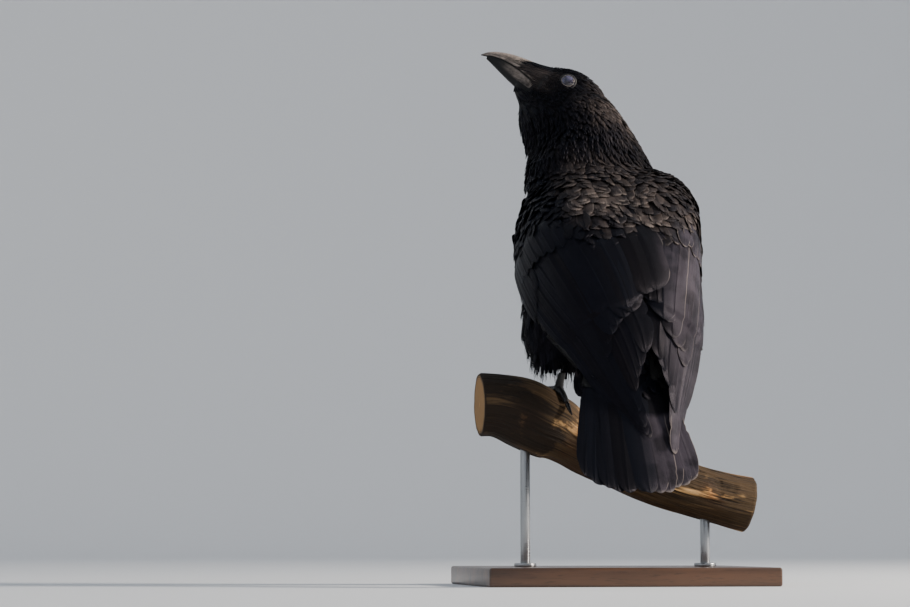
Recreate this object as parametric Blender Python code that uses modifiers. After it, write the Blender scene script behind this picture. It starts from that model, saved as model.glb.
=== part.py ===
"""Carrion crow, life size, perched on a cut length of branch that a plain display stand holds.

The bird faces -Y with its head turned to its left (+X), and the stand's underside is at z = 0.
The bird is laid out in its own frame, in millimetres: its origin is on the middle plane of the
body at the height of the left foot, PERCH_HEIGHT above the floor.
"""

import math

import bmesh
import bpy
import numpy as np
from mathutils import Matrix, Vector

MM = 0.001
COLLECTION = "carrion_crow"

# --- driving dimensions, millimetres unless named otherwise -----------------------------------
PERCH_HEIGHT = 155.0       # floor to the top of the perch under the left foot
GAP = 0.3                  # clearance between neighbouring pieces
GROW = 0.42                # how far a cutter is swollen to leave that clearance
HALF_SPACE = 400.0         # side of the block that stands for one side of a cutting plane

BODY_SIDES = 26            # points round the trunk and neck
BODY_RINGS = 21
HEAD_SIDES = 22
HEAD_RINGS = 13

HEAD_ORIGIN = (11.5, -77.0, 260.5)
HEAD_YAW = 69.0            # degrees, from straight ahead towards the left
HEAD_PITCH = 31.0          # degrees, bill above level
HEAD_ROLL = 12.0           # degrees, left cheek raised

EYE_RADIUS = 7.2
EYE_CENTRE = (7.5, 17.6, 1.2)      # head frame, left eye
BILL_SIDES = 9                     # points along one arch of the bill's section

WING_ROWS = 15
WING_COLUMNS = 7
THIGH_SIDES = 18
THIGH_RINGS = 8
WING_EDGE = 1.0            # thickness at the feathered edge
WING_FINE_ROWS = 61        # steps that a wing's stations are read at
WING_SWELL = (0.62, 0.55, 0.35)    # way that a wing's middle swells out from its edges
TAIL_ROWS = 10
TAIL_COLUMNS = 9
TAIL_LENGTH = 178.0
TAIL_PITCH = 57.0          # degrees below level
TAIL_TIP = (4.5, 129.0, -85.0)
TAIL_ROOT_HALF_WIDTH = 29.0
TAIL_TIP_HALF_WIDTH = 50.0
TAIL_ROUNDING = 26.0       # how much shorter the outermost feathers are
TAIL_ARCH = 5.0            # how far the middle feathers lie above the outer ones
TAIL_ROOT_DEPTH = 6.5
TAIL_TIP_DEPTH = 1.9

TARSUS_RADIUS = 2.9
TOE_RADIUS = 3.0
TOE_PRESS = 0.5            # how far a toe's pad is flattened by the perch
TOE_START = 1.2            # where a toe begins, from the middle of the foot
TOE_RINGS = 6
TOE_TAPER = 0.28
BALL_RADIUS = 4.4          # pad where the toes and the shank meet
BALL_LIFT = 0.4
SHANK = ((0.0, 0.7), (0.3, 0.0), (0.65, 0.0), (0.92, 0.6), (1.0, 0.4))   # place, extra radius
CLAW_LENGTH = 13.0
CLAW_RINGS = 6
CLAW_RADIUS = 2.0
CLAW_POINT = 0.35          # radius left at the claw's point
CLAW_START = 1.6           # how far past the toe's end a claw begins
CLAW_RISE = 1.4
CLAW_CURVE = 2.4
HIND_CLAW = 1.15           # hind claw's length against the others

PERCH_LEFT_END = 110.0     # x of the end under the bird's left side
PERCH_RIGHT_END = -116.0
PERCH_SIDES = 18
PERCH_RINGS = 18
PERCH_STEPS = 141          # steps that the perch's stations are read at

BASE_LENGTH = 236.0
BASE_WIDTH = 176.0
BASE_THICKNESS = 15.0
BASE_CORNER = 2.0
BASE_CORNER_STEPS = 2
ROD_RADIUS = 4.0
ROD_SIDES = 16
ROD_X = (72.0, -78.0)

# Stations of the trunk and neck, tail end first: x, y, z of the middle, then the half sizes
# towards the back, towards the belly and sideways, and the twist of the section towards the head.
BODY_STATIONS = (
    (0, 68, 22, 8, 10, 20, 0),
    (0, 52, 44, 19, 20, 33, 0),
    (0, 26, 76, 38, 36, 52, 0),
    (0, -4, 108, 50, 47, 61, 0),
    (1, -32, 142, 51, 50, 63, 0),
    (3, -54, 175, 46, 46, 60, 10),
    (9.5, -66, 205, 48, 46, 53.5, 35),
    (18, -70, 229, 44, 42, 38, 60),
    (25, -74, 247, 35.5, 39, 29, 69),
    (30, -76, 262, 18, 33, 18, 69),
)

# Stations of the head along its own forward axis: x, top, bottom and half width.
HEAD_STATIONS = (
    (-39, -7, -15, 7),
    (-31, 5, -26, 15),
    (-16, 15.8, -32, 21.5),
    (0, 19.3, -35, 23.5),
    (14, 17.8, -35, 22.5),
    (26, 13.0, -34, 18),
    (35, 9.8, -32.5, 14),
    (43, 8.0, -29, 10.5),
    (50, 6.0, -22, 6.5),
)

# Stations of the bill along the head's forward axis: x, top ridge, cutting edge, underside,
# half width.
BILL_STATIONS = (
    (33.0, 6.9, -10.8, -22.0, 8.6),
    (40.0, 6.8, -9.6, -21.0, 8.0),
    (50.0, 6.0, -7.4, -19.3, 7.0),
    (60.0, 4.5, -6.0, -17.0, 5.9),
    (70.0, 2.1, -5.9, -14.3, 4.7),
    (79.0, -1.4, -7.2, -11.9, 3.2),
    (85.0, -5.0, -9.0, -10.5, 1.9),
)
BILL_TIP = (89.5, -10.6)           # x and z of the hooked point
BILL_TIP_DEPTH = 0.9
BILL_TIP_HALF_WIDTH = 0.7
BILL_RINGS = 13
UPPER_FULLNESS = 0.85              # below 1 squares the bill's sides off
LOWER_FULLNESS = 0.7
LOWER_WIDTH = 0.94                 # lower bill's width as a share of the upper's

# Stations of a wing from the bend to the tip: the edge along the back, then the lower edge
# (x is positive outwards), then how far the middle swells out and how thick it is.
LEFT_WING = (
    ((42, -58, 186), (51, -75, 170), 5, 4),
    ((33, -42, 192), (55, -80, 157), 11, 8),
    ((12, -6, 184), (70, -54, 128), 20, 12),
    ((-10, 30, 152), (76.5, -12, 94), 25, 13),
    ((-22, 58, 108), (70, 32, 56), 21, 10),
    ((-22, 78, 60), (48, 62, 22), 14, 7),
    ((-16, 93, 8), (20, 88, -20), 6, 4),
    ((-10, 108, -38), (-4, 108, -40), 1, 1.6),
)
RIGHT_WING = (
    ((46, -50, 188), (64, -71, 172), 6, 5),
    ((38, -34, 192), (75, -72, 159), 13, 9),
    ((18, -6, 183), (82.5, -46, 133), 24, 12),
    ((4, 25, 151), (75, -8, 94), 24, 13),
    ((3, 51, 106), (68, 38, 56), 18, 10),
    ((8, 71, 58), (60, 58, 20), 10, 7),
    ((14, 90, 4), (41, 84, -24), 5, 4),
    ((20, 111, -52), (26, 111, -52), 1, 1.6),
)

# Stations of a feathered thigh, top first: z, x outwards, y, half width and half depth.
THIGH_STATIONS = (
    (104, 40, 4, 22, 26),
    (84, 46, 2, 26, 32),
    (62, 48, 1, 27, 31),
    (40, 48, 3, 26, 25),
    (27, 47, 7, 17, 15),
    (18, 46, 9, 9, 7),
)

THIGH_STRETCH = {"left": 0.0, "right": 14.0}   # the right foot stands lower on the slope

# The cut between trunk and neck, and the one between neck and head (from the head's origin):
# a point on the lower side's face and the way up from it.
NECK_FLOOR = (8.0, -62.0, 186.0)
NECK_LEAN = (0.08, -0.34, 0.94)
JAW_DROP = 30.0
JAW_BACK = 6.0
JAW_LEAN = (0.36, 0.93)            # forward and up, in the head frame

# The perch's centre line and radius: x, y, z, radius.
PERCH_STATIONS = (
    (116, 2, -9, 26.5),
    (96, 1, -9.5, 26.5),
    (75, 0, -15.5, 29.0),
    (57, 0, -24, 28.0),
    (46, 0, -28.5, 26.5),
    (34, 0, -35.5, 24.0),
    (20, 1, -41.5, 25.5),
    (-5, 1.5, -52, 26.0),
    (-30, 2, -64, 24.5),
    (-62, 2, -76, 22.5),
    (-95, 1, -85, 22.5),
    (-122, -1, -91, 23.5),
)

# Each leg: the place of the foot along the perch's middle line, and the ankle (x, y, z) where
# the bare part leaves the feathers.
LEGS = {
    "left": (57.0, (38.0, 20.0, 46.0)),
    "right": (-2.0, (-33.0, 25.0, 25.0)),
}
# Each toe: name, turn along the perch in degrees (positive is outwards), direction round the
# perch (1 is forwards), length along the perch's skin.
TOES = (
    ("inner", -24.0, 1, 27.0),
    ("middle", 2.0, 1, 37.0),
    ("outer", 27.0, 1, 29.0),
    ("hind", -17.0, -1, 24.0),
)

FEATHER = (0.012, 0.013, 0.018)
BILL_HORN = (0.10, 0.085, 0.08)
EYE_MEMBRANE = (0.45, 0.45, 0.52)
LEG_SCALE = (0.02, 0.02, 0.022)
PERCH_WOOD = (0.30, 0.19, 0.11)
BASE_WOOD = (0.045, 0.028, 0.018)
ROD_STEEL = (0.45, 0.45, 0.46)


# --- helpers ----------------------------------------------------------------------------------
def clear_scene():
    for obj in list(bpy.data.objects):
        bpy.data.objects.remove(obj, do_unlink=True)


def new_collection(name):
    collection = bpy.data.collections.new(name)
    bpy.context.scene.collection.children.link(collection)
    return collection


def principled(name, colour, roughness, metallic=0.0):
    material = bpy.data.materials.new(name)
    material.use_nodes = True
    shader = material.node_tree.nodes["Principled BSDF"]
    shader.inputs["Base Color"].default_value = (*colour, 1.0)
    shader.inputs["Roughness"].default_value = roughness
    shader.inputs["Metallic"].default_value = metallic
    material.diffuse_color = (*colour, 1.0)
    return material


def smooth_table(rows, count):
    """Reads a table of stations as smooth curves at `count` even places, first to last."""
    rows = np.array(rows, dtype=float)
    slopes = np.gradient(rows, axis=0)
    places = np.linspace(0, len(rows) - 1, count)
    first = np.minimum(places.astype(int), len(rows) - 2)
    t = (places - first)[:, None]
    a, b = rows[first], rows[first + 1]
    da, db = slopes[first], slopes[first + 1]
    return (
        a * (2 * t**3 - 3 * t**2 + 1)
        + da * (t**3 - 2 * t**2 + t)
        + b * (3 * t**2 - 2 * t**3)
        + db * (t**3 - t**2)
    )


def loft(name, rings, material, collection, parent):
    """A closed skin over rings of equal length, with a fan of faces on each end ring.

    The faces are split into triangles, so that a cutter made from a copy has the same ones.
    """
    mesh = bmesh.new()
    loops = [[mesh.verts.new(Vector(p) * MM) for p in ring] for ring in rings]
    for low, high in zip(loops, loops[1:]):
        for i in range(len(low)):
            j = (i + 1) % len(low)
            mesh.faces.new((low[i], low[j], high[j], high[i]))
    for loop in (loops[0][::-1], loops[-1]):
        centre = mesh.verts.new(sum((v.co for v in loop), Vector()) / len(loop))
        for i in range(len(loop)):
            mesh.faces.new((loop[i], loop[(i + 1) % len(loop)], centre))
    bmesh.ops.triangulate(mesh, faces=mesh.faces)
    if mesh.calc_volume(signed=True) < 0:
        bmesh.ops.reverse_faces(mesh, faces=mesh.faces)
    return mesh_object(name, mesh, material, collection, parent)


def mesh_object(name, mesh, material, collection, parent):
    data = bpy.data.meshes.new(name)
    mesh.to_mesh(data)
    mesh.free()
    data.materials.append(material)
    obj = bpy.data.objects.new(name, data)
    collection.objects.link(obj)
    obj.parent = parent
    data.shade_smooth()
    data.set_sharp_from_angle(angle=math.radians(45))
    return obj


def evaluated_mesh(obj):
    """A copy of the object's finished mesh, with its corners in world space."""
    graph = bpy.context.evaluated_depsgraph_get()
    data = bpy.data.meshes.new_from_object(obj.evaluated_get(graph))
    mesh = bmesh.new()
    mesh.from_mesh(data)
    bpy.data.meshes.remove(data)
    mesh.transform(obj.matrix_world)
    return mesh


def swollen(obj, cutters):
    """A hidden copy of an object, swollen by a little, to cut its neighbours with."""
    bpy.context.view_layer.update()
    mesh = evaluated_mesh(obj)
    mesh.normal_update()
    moved = [v.co + v.normal * GROW * MM for v in mesh.verts]
    for vert, place in zip(mesh.verts, moved):
        vert.co = place
    data = bpy.data.meshes.new("cut_" + obj.name)
    mesh.to_mesh(data)
    mesh.free()
    cutter = bpy.data.objects.new("cut_" + obj.name, data)
    hide_cutter(cutter, cutters)
    return cutter


def hide_cutter(cutter, cutters):
    cutters.objects.link(cutter)
    cutter.hide_render = True
    cutter.display_type = "WIRE"


def cut(obj, *tools, operation="DIFFERENCE"):
    for tool in tools:
        modifier = obj.modifiers.new(tool.name, "BOOLEAN")
        modifier.operation = operation
        modifier.solver = "EXACT"
        modifier.object = tool


def fix(obj):
    """Turns an object's modifiers into its mesh, so that later cutters read it as it stands."""
    bpy.context.view_layer.update()
    graph = bpy.context.evaluated_depsgraph_get()
    data = bpy.data.meshes.new_from_object(obj.evaluated_get(graph))
    old = obj.data
    obj.modifiers.clear()
    obj.data = data
    bpy.data.meshes.remove(old)


def copy_of(obj, name, material, collection):
    twin = obj.copy()
    twin.data = obj.data.copy()
    twin.name = name
    twin.data.name = name
    twin.data.materials.clear()
    twin.data.materials.append(material)
    collection.objects.link(twin)
    return twin


def join_bodies(name, pieces, material):
    """One body made of overlapping pieces: the first keeps its place and takes in the rest."""
    first = pieces[0]
    for piece in pieces[1:]:
        cut(first, piece, operation="UNION")
        fix(first)
    first.name = name
    first.data.name = name
    for piece in pieces[1:]:
        bpy.data.objects.remove(piece, do_unlink=True)
    first.data.materials.clear()
    first.data.materials.append(material)
    return first


def half_space(name, point, normal, cutters, bird):
    """A large block on the side of a plane that its normal points to."""
    size = HALF_SPACE * MM
    mesh = bmesh.new()
    bmesh.ops.create_cube(mesh, size=size)
    data = bpy.data.meshes.new(name)
    mesh.to_mesh(data)
    mesh.free()
    block = bpy.data.objects.new(name, data)
    direction = Vector(normal).normalized()
    block.rotation_euler = direction.to_track_quat("Z", "Y").to_euler()
    block.location = Vector(point) * MM + direction * size / 2
    block.parent = bird
    hide_cutter(block, cutters)
    return block


# --- the bird ---------------------------------------------------------------------------------
def head_axes():
    """The head's forward, left and up directions in the bird's frame."""
    yaw, pitch, roll = (math.radians(a) for a in (HEAD_YAW, HEAD_PITCH, HEAD_ROLL))
    ahead = Vector((math.sin(yaw), -math.cos(yaw), 0))
    left = Vector((math.cos(yaw), math.sin(yaw), 0))
    forward = ahead * math.cos(pitch) + Vector((0, 0, math.sin(pitch)))
    up = forward.cross(left)
    return (
        forward,
        left * math.cos(roll) + up * math.sin(roll),
        up * math.cos(roll) - left * math.sin(roll),
    )


def head_matrix():
    forward, left, up = head_axes()
    turn = Matrix((forward, left, up)).transposed().to_4x4()
    return Matrix.Translation(Vector(HEAD_ORIGIN) * MM) @ turn


def body_rings():
    """Sections of the trunk and neck, each square to the spine and turned by its twist."""
    table = smooth_table(BODY_STATIONS, BODY_RINGS)
    centres = table[:, :3]
    spine = np.gradient(centres, axis=0)
    rings = []
    for (_, _, _, back, front, side, twist), centre, along in zip(table, centres, spine):
        along = Vector(along).normalized()
        turn = math.radians(twist)
        ahead = Vector((math.sin(turn), -math.cos(turn), 0))
        belly = (ahead - along * ahead.dot(along)).normalized()
        left = belly.cross(along)
        ring = []
        for i in range(BODY_SIDES):
            angle = 2 * math.pi * i / BODY_SIDES
            depth = front if math.cos(angle) > 0 else back
            ring.append(
                Vector(centre)
                + belly * depth * math.cos(angle)
                + left * side * math.sin(angle)
            )
        rings.append(ring)
    return rings


def part_neck(trunk, neck, head, cutters, bird):
    """Parts one long body with two thin flat cuts: trunk, neck and head."""
    floor, lean = Vector(NECK_FLOOR), Vector(NECK_LEAN).normalized()
    forward, _, up = head_axes()
    jaw = Vector(HEAD_ORIGIN) - up * JAW_DROP - forward * JAW_BACK
    jaw_lean = (forward * JAW_LEAN[0] + up * JAW_LEAN[1]).normalized()
    cut(trunk, half_space("above_neck", floor, lean, cutters, bird))
    cut(
        neck,
        half_space("below_neck", floor + lean * GAP, -lean, cutters, bird),
        half_space("above_jaw", jaw, jaw_lean, cutters, bird),
    )
    cut(head, half_space("below_jaw", jaw + jaw_lean * GAP, -jaw_lean, cutters, bird))
    for piece in (trunk, neck, head):
        fix(piece)


def head_rings():
    """Sections of the head across its own forward axis."""
    rings = []
    for x, top, bottom, half_width in smooth_table(HEAD_STATIONS, HEAD_RINGS):
        middle, half = (top + bottom) / 2, (top - bottom) / 2
        rings.append(
            [
                (
                    x,
                    half_width * math.sin(2 * math.pi * i / HEAD_SIDES),
                    middle + half * math.cos(2 * math.pi * i / HEAD_SIDES),
                )
                for i in range(HEAD_SIDES)
            ]
        )
    return rings


def bill_section(x, ridge, edge, half_width, fullness):
    """One arch of the bill, from cutting edge over the ridge to cutting edge, then straight back."""
    arch = []
    for i in range(BILL_SIDES):
        angle = math.pi * i / (BILL_SIDES - 1)
        side, rise = math.cos(angle), math.sin(angle)
        across = half_width * math.copysign(abs(side) ** fullness, side)
        arch.append((x, across, edge + (ridge - edge) * rise))
    return arch


def make_bill(material, collection, head_frame):
    table = smooth_table(BILL_STATIONS, BILL_RINGS)
    upper, lower = [], []
    for x, top, edge, bottom, half_width in table:
        upper.append(bill_section(x, top, edge + GAP / 2, half_width, UPPER_FULLNESS))
        inside = half_width * LOWER_WIDTH
        lower.append(bill_section(x, bottom, edge - GAP / 2, inside, LOWER_FULLNESS))
    tip_x, tip_z = BILL_TIP
    upper.append(bill_section(tip_x, tip_z + BILL_TIP_DEPTH, tip_z, BILL_TIP_HALF_WIDTH, 1.0))
    lower.pop()
    bill_upper = loft("bill_upper", upper, material, collection, head_frame)
    bill_lower = loft("bill_lower", lower, material, collection, head_frame)
    return bill_upper, bill_lower


def make_eye(side, material, collection, head_frame):
    x, y, z = EYE_CENTRE
    mesh = bmesh.new()
    bmesh.ops.create_uvsphere(mesh, u_segments=16, v_segments=10, radius=EYE_RADIUS * MM)
    eye = mesh_object("eye_" + side, mesh, material, collection, head_frame)
    eye.location = Vector((x, y if side == "left" else -y, z)) * MM
    eye.rotation_euler = (math.radians(90), 0, 0)
    return eye


def sheet_solid(name, surface, thickness, rows, columns, material, collection, parent):
    """A curved plate: `surface(t, v)` is its middle and `thickness(t, v)` its full depth."""
    step = 1e-3

    def normal(t, v):
        t0, t1 = max(t - step, 0), min(t + step, 1)
        v0, v1 = max(v - step, 0), min(v + step, 1)
        along = surface(t1, v) - surface(t0, v)
        across = surface(t, v1) - surface(t, v0)
        return along.cross(across).normalized()

    rings = []
    for i in range(rows):
        t = i / (rows - 1)
        outer, inner = [], []
        for j in range(columns):
            v = j / (columns - 1)
            offset = normal(t, v) * thickness(t, v) / 2
            outer.append(surface(t, v) + offset)
            inner.append(surface(t, v) - offset)
        rings.append(outer + inner[::-1])
    return loft(name, rings, material, collection, parent)


def make_wing(side, stations, material, collection, bird):
    rows = [(*inner, *outer, swell, thick) for inner, outer, swell, thick in stations]
    fine = smooth_table(rows, WING_FINE_ROWS)
    mirror = 1 if side == "left" else -1
    out = Vector(WING_SWELL).normalized()

    def station(t):
        place = t * (len(fine) - 1)
        low = min(int(place), len(fine) - 2)
        return fine[low] + (fine[low + 1] - fine[low]) * (place - low)

    def surface(t, v):
        row = station(t)
        inner, outer = Vector(row[:3]), Vector(row[3:6])
        bulge = out * row[6] * (2 * v * (1 - v) + 0.5 * math.sin(math.pi * v))
        point = inner.lerp(outer, v) + bulge
        return Vector((point.x * mirror, point.y, point.z))

    def thickness(t, v):
        return max(WING_EDGE, station(t)[7] * math.sin(math.pi * v) ** 0.6)

    return sheet_solid(
        "wing_" + side, surface, thickness, WING_ROWS, WING_COLUMNS, material, collection, bird
    )


def make_tail(material, collection, bird):
    pitch = math.radians(TAIL_PITCH)
    down = Vector((0, math.cos(pitch), -math.sin(pitch)))
    back = Vector((0, math.sin(pitch), math.cos(pitch)))
    tip = Vector(TAIL_TIP)

    def surface(t, v):
        side = 2 * v - 1
        half = TAIL_ROOT_HALF_WIDTH + (TAIL_TIP_HALF_WIDTH - TAIL_ROOT_HALF_WIDTH) * t**0.8
        short = TAIL_ROUNDING * abs(side) ** 3 * t**2
        length = TAIL_LENGTH * (t - 1) - short
        arch = back * TAIL_ARCH * (1 - side * side) * (1 - 0.4 * t)
        return tip + down * length + Vector((-half * side, 0, 0)) + arch

    def thickness(t, v):
        side = abs(2 * v - 1)
        middle = TAIL_ROOT_DEPTH + (TAIL_TIP_DEPTH - TAIL_ROOT_DEPTH) * t
        return middle * (1 - 0.55 * side**2)

    return sheet_solid(
        "tail", surface, thickness, TAIL_ROWS, TAIL_COLUMNS, material, collection, bird
    )


def make_thigh(side, material, collection, bird):
    """The feathered drumstick and the flank feathers over it, down to just above the foot."""
    mirror = 1 if side == "left" else -1
    top, bottom = THIGH_STATIONS[0][0], THIGH_STATIONS[-1][0]
    rings = []
    for z, x, y, half_x, half_y in smooth_table(THIGH_STATIONS, THIGH_RINGS):
        z -= THIGH_STRETCH[side] * (top - z) / (top - bottom)
        rings.append(
            [
                (mirror * (x + half_x * math.cos(a)), y + half_y * math.sin(a), z)
                for a in (2 * math.pi * k / THIGH_SIDES for k in range(THIGH_SIDES))
            ]
        )
    return loft("thigh_" + side, rings, material, collection, bird)


# --- the perch, the legs and the stand ---------------------------------------------------------
def perch_line(x):
    """Centre and radius of the perch at a place along X."""
    rows = smooth_table(PERCH_STATIONS, PERCH_STEPS)
    order = np.argsort(rows[:, 0])
    y, z, radius = (np.interp(x, rows[order, 0], rows[order, k]) for k in (1, 2, 3))
    return Vector((x, y, z)), radius


def perch_axis(x):
    return (perch_line(x + 2)[0] - perch_line(x - 2)[0]).normalized()


def perch_skin(x, angle, rise):
    """A point over the perch: angle 0 is its top and grows towards the front (-Y)."""
    centre, radius = perch_line(x)
    along = perch_axis(x)
    up = (Vector((0, 0, 1)) - along * along.z).normalized()
    ahead = Vector((0, -1, 0))
    return centre + (up * math.cos(angle) + ahead * math.sin(angle)) * (radius + rise)


def make_perch(material, collection, bird):
    rings = []
    for i in range(PERCH_RINGS):
        x = PERCH_LEFT_END + (PERCH_RIGHT_END - PERCH_LEFT_END) * i / (PERCH_RINGS - 1)
        rings.append(
            [perch_skin(x, 2 * math.pi * k / PERCH_SIDES, 0) for k in range(PERCH_SIDES)]
        )
    return loft("perch", rings, material, collection, bird)


def tube(name, points, radii, sides, material, collection, parent):
    """A round bar through the points, with its ends closed."""
    rings = []
    for i, point in enumerate(points):
        before, after = points[max(i - 1, 0)], points[min(i + 1, len(points) - 1)]
        along = (after - before).normalized()
        if i == 0:
            side = along.orthogonal()
        side = (side - along * side.dot(along)).normalized()
        other = along.cross(side)
        rings.append(
            [
                point + (side * math.cos(a) + other * math.sin(a)) * radii[i]
                for a in (2 * math.pi * k / sides for k in range(sides))
            ]
        )
    return loft(name, rings, material, collection, parent)


def toe_path(foot_x, mirror, turn, way, length):
    """Points over the perch from the ball of the foot out to the claw's root."""
    _, radius = perch_line(foot_x)
    points = []
    for i in range(TOE_RINGS):
        run = TOE_START + (length - TOE_START) * i / (TOE_RINGS - 1)
        slip = math.tan(math.radians(turn)) * run * mirror
        angle = way * run / (radius + TOE_RADIUS)
        points.append(perch_skin(foot_x + slip, angle, TOE_RADIUS - TOE_PRESS))
    return points


def make_leg(side, skin, horn, collection, bird):
    foot_x, ankle = LEGS[side]
    mirror = 1 if side == "left" else -1
    ball = perch_skin(foot_x, 0, TOE_RADIUS + BALL_LIFT)
    ankle = Vector(ankle)
    shaft = [ankle.lerp(ball, t) for t, _ in SHANK]
    radii = [TARSUS_RADIUS + extra for _, extra in SHANK]
    pieces = [
        make_ball(ball, skin, collection, bird),
        tube("shaft", shaft, radii, 10, skin, collection, bird),
    ]
    claws = []
    for toe, turn, way, length in TOES:
        path = toe_path(foot_x, mirror, turn, way, length)
        radii = [TOE_RADIUS * (1 - TOE_TAPER * i / (TOE_RINGS - 1)) for i in range(TOE_RINGS)]
        pieces.append(tube("toe", path, radii, 8, skin, collection, bird))
        claws.append(make_claw(side, toe, path, horn, collection, bird))
    leg = join_bodies("leg_" + side, pieces, skin)
    return leg, claws


def make_ball(place, skin, collection, bird):
    mesh = bmesh.new()
    bmesh.ops.create_uvsphere(mesh, u_segments=12, v_segments=8, radius=BALL_RADIUS * MM)
    ball = mesh_object("ball", mesh, skin, collection, bird)
    ball.location = place * MM
    return ball


def make_claw(side, toe, path, material, collection, bird):
    """A curved, tapering claw that carries on from the end of a toe round the perch."""
    end = path[-1]
    along = (path[-1] - path[-2]).normalized()
    bend = (path[-1] - path[-2]).cross(path[-3] - path[-2]).normalized()
    down = bend.cross(along)
    points, radii = [], []
    reach = CLAW_LENGTH * (HIND_CLAW if toe == "hind" else 1.0)
    for i in range(CLAW_RINGS):
        t = i / (CLAW_RINGS - 1)
        drop = CLAW_RISE * t - CLAW_CURVE * t * t
        points.append(end + along * (CLAW_START + reach * t) + down * drop)
        radii.append(CLAW_RADIUS * (1 - t) ** 0.8 + CLAW_POINT)
    return tube(f"claw_{side}_{toe}", points, radii, 8, material, collection, bird)


def make_base(material, collection):
    mesh = bmesh.new()
    bmesh.ops.create_cube(mesh, size=1.0)
    scale = Vector((BASE_LENGTH, BASE_WIDTH, BASE_THICKNESS)) * MM
    bmesh.ops.scale(mesh, vec=scale, verts=mesh.verts)
    base = mesh_object("stand_base", mesh, material, collection, None)
    base.location.z = BASE_THICKNESS * MM / 2
    bevel = base.modifiers.new("rounded edges", "BEVEL")
    bevel.width = BASE_CORNER * MM
    bevel.segments = BASE_CORNER_STEPS
    return base


def make_rod(index, x, material, collection):
    foot = (BASE_THICKNESS + GAP) * MM
    top = (perch_line(x)[0].z + PERCH_HEIGHT) * MM
    mesh = bmesh.new()
    bmesh.ops.create_cone(
        mesh, cap_ends=True, segments=ROD_SIDES, radius1=ROD_RADIUS * MM, radius2=ROD_RADIUS * MM,
        depth=top - foot,
    )
    rod = mesh_object(f"stand_rod_{index}", mesh, material, collection, None)
    rod.location = (x * MM, perch_line(x)[0].y * MM, (top + foot) / 2)
    return rod


def main():
    clear_scene()
    parts = new_collection(COLLECTION)
    cutters = new_collection("cutters")
    bird = bpy.data.objects.new("bird", None)
    bird.location.z = PERCH_HEIGHT * MM
    parts.objects.link(bird)
    head_frame = bpy.data.objects.new("head_frame", None)
    head_frame.parent = bird
    head_frame.matrix_basis = head_matrix()
    parts.objects.link(head_frame)

    feather = {
        name: principled("feather_" + name, FEATHER, 0.55)
        for name in ("trunk", "neck", "head", "tail", "wing_left", "wing_right",
                     "thigh_left", "thigh_right")
    }
    horn = principled("bill_horn", BILL_HORN, 0.38)
    claw_horn = principled("claw_horn", LEG_SCALE, 0.35)
    leg_skin = principled("leg_scale", LEG_SCALE, 0.5)
    membrane = principled("eye_membrane", EYE_MEMBRANE, 0.12)
    perch_wood = principled("weathered_wood", PERCH_WOOD, 0.75)
    base_wood = principled("stained_wood", BASE_WOOD, 0.4)
    steel = principled("rod_steel", ROD_STEEL, 0.3, 1.0)

    trunk = loft("trunk", body_rings(), feather["trunk"], parts, bird)
    skull = loft("skull", head_rings(), feather["head"], parts, head_frame)
    bpy.context.view_layer.update()
    neck, head = (copy_of(trunk, name, feather[name], parts) for name in ("neck", "head"))
    for piece in (neck, head):
        cut(piece, skull, operation="UNION")
        fix(piece)
    bpy.data.objects.remove(skull, do_unlink=True)
    part_neck(trunk, neck, head, cutters, bird)

    bill_upper, bill_lower = make_bill(horn, parts, head_frame)
    eyes = [make_eye(side, membrane, parts, head_frame) for side in ("left", "right")]
    bpy.context.view_layer.update()
    cut(head, *(swollen(piece, cutters) for piece in (bill_upper, bill_lower, *eyes)))
    fix(head)

    wing_left = make_wing("left", LEFT_WING, feather["wing_left"], parts, bird)
    wing_right = make_wing("right", RIGHT_WING, feather["wing_right"], parts, bird)
    over_left = swollen(wing_left, cutters)
    over_right = swollen(wing_right, cutters)
    cut(wing_right, over_left)
    fix(wing_right)
    cut(trunk, over_left, over_right)
    fix(trunk)
    cut(neck, over_left, over_right)
    fix(neck)
    over_trunk = swollen(trunk, cutters)

    tail = make_tail(feather["tail"], parts, bird)
    cut(tail, over_trunk, over_left, over_right)
    fix(tail)

    perch = make_perch(perch_wood, parts, bird)
    bpy.context.view_layer.update()
    over_perch = swollen(perch, cutters)
    for side in ("left", "right"):
        thigh = make_thigh(side, feather["thigh_" + side], parts, bird)
        cut(thigh, over_trunk, over_left, over_right)
        fix(thigh)
        leg, claws = make_leg(side, leg_skin, claw_horn, parts, bird)
        cut(leg, swollen(thigh, cutters), over_perch)
        fix(leg)
        over_leg = swollen(leg, cutters)
        for claw in claws:
            cut(claw, over_leg, over_perch)
            fix(claw)

    make_base(base_wood, parts)
    for index, x in enumerate(ROD_X, 1):
        rod = make_rod(index, x, steel, parts)
        bpy.context.view_layer.update()
        cut(rod, over_perch)
        fix(rod)


if __name__ == "__main__":
    main()
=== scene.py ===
"""Looks of the life-size carrion crow: skin, plumage, bill, eyes, feet, perch, stand and studio.

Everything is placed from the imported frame. Lengths in the tables are millimetres in the bird's
own frame, whose origin is PERCH_HEIGHT above the floor; meshes and properties are in metres.
"""

import math

import bmesh
import bpy
import numpy as np
from bpy.props import FloatProperty, FloatVectorProperty, IntProperty, PointerProperty
from mathutils import Matrix, Vector
from mathutils.bvhtree import BVHTree
from mathutils.kdtree import KDTree


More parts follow.
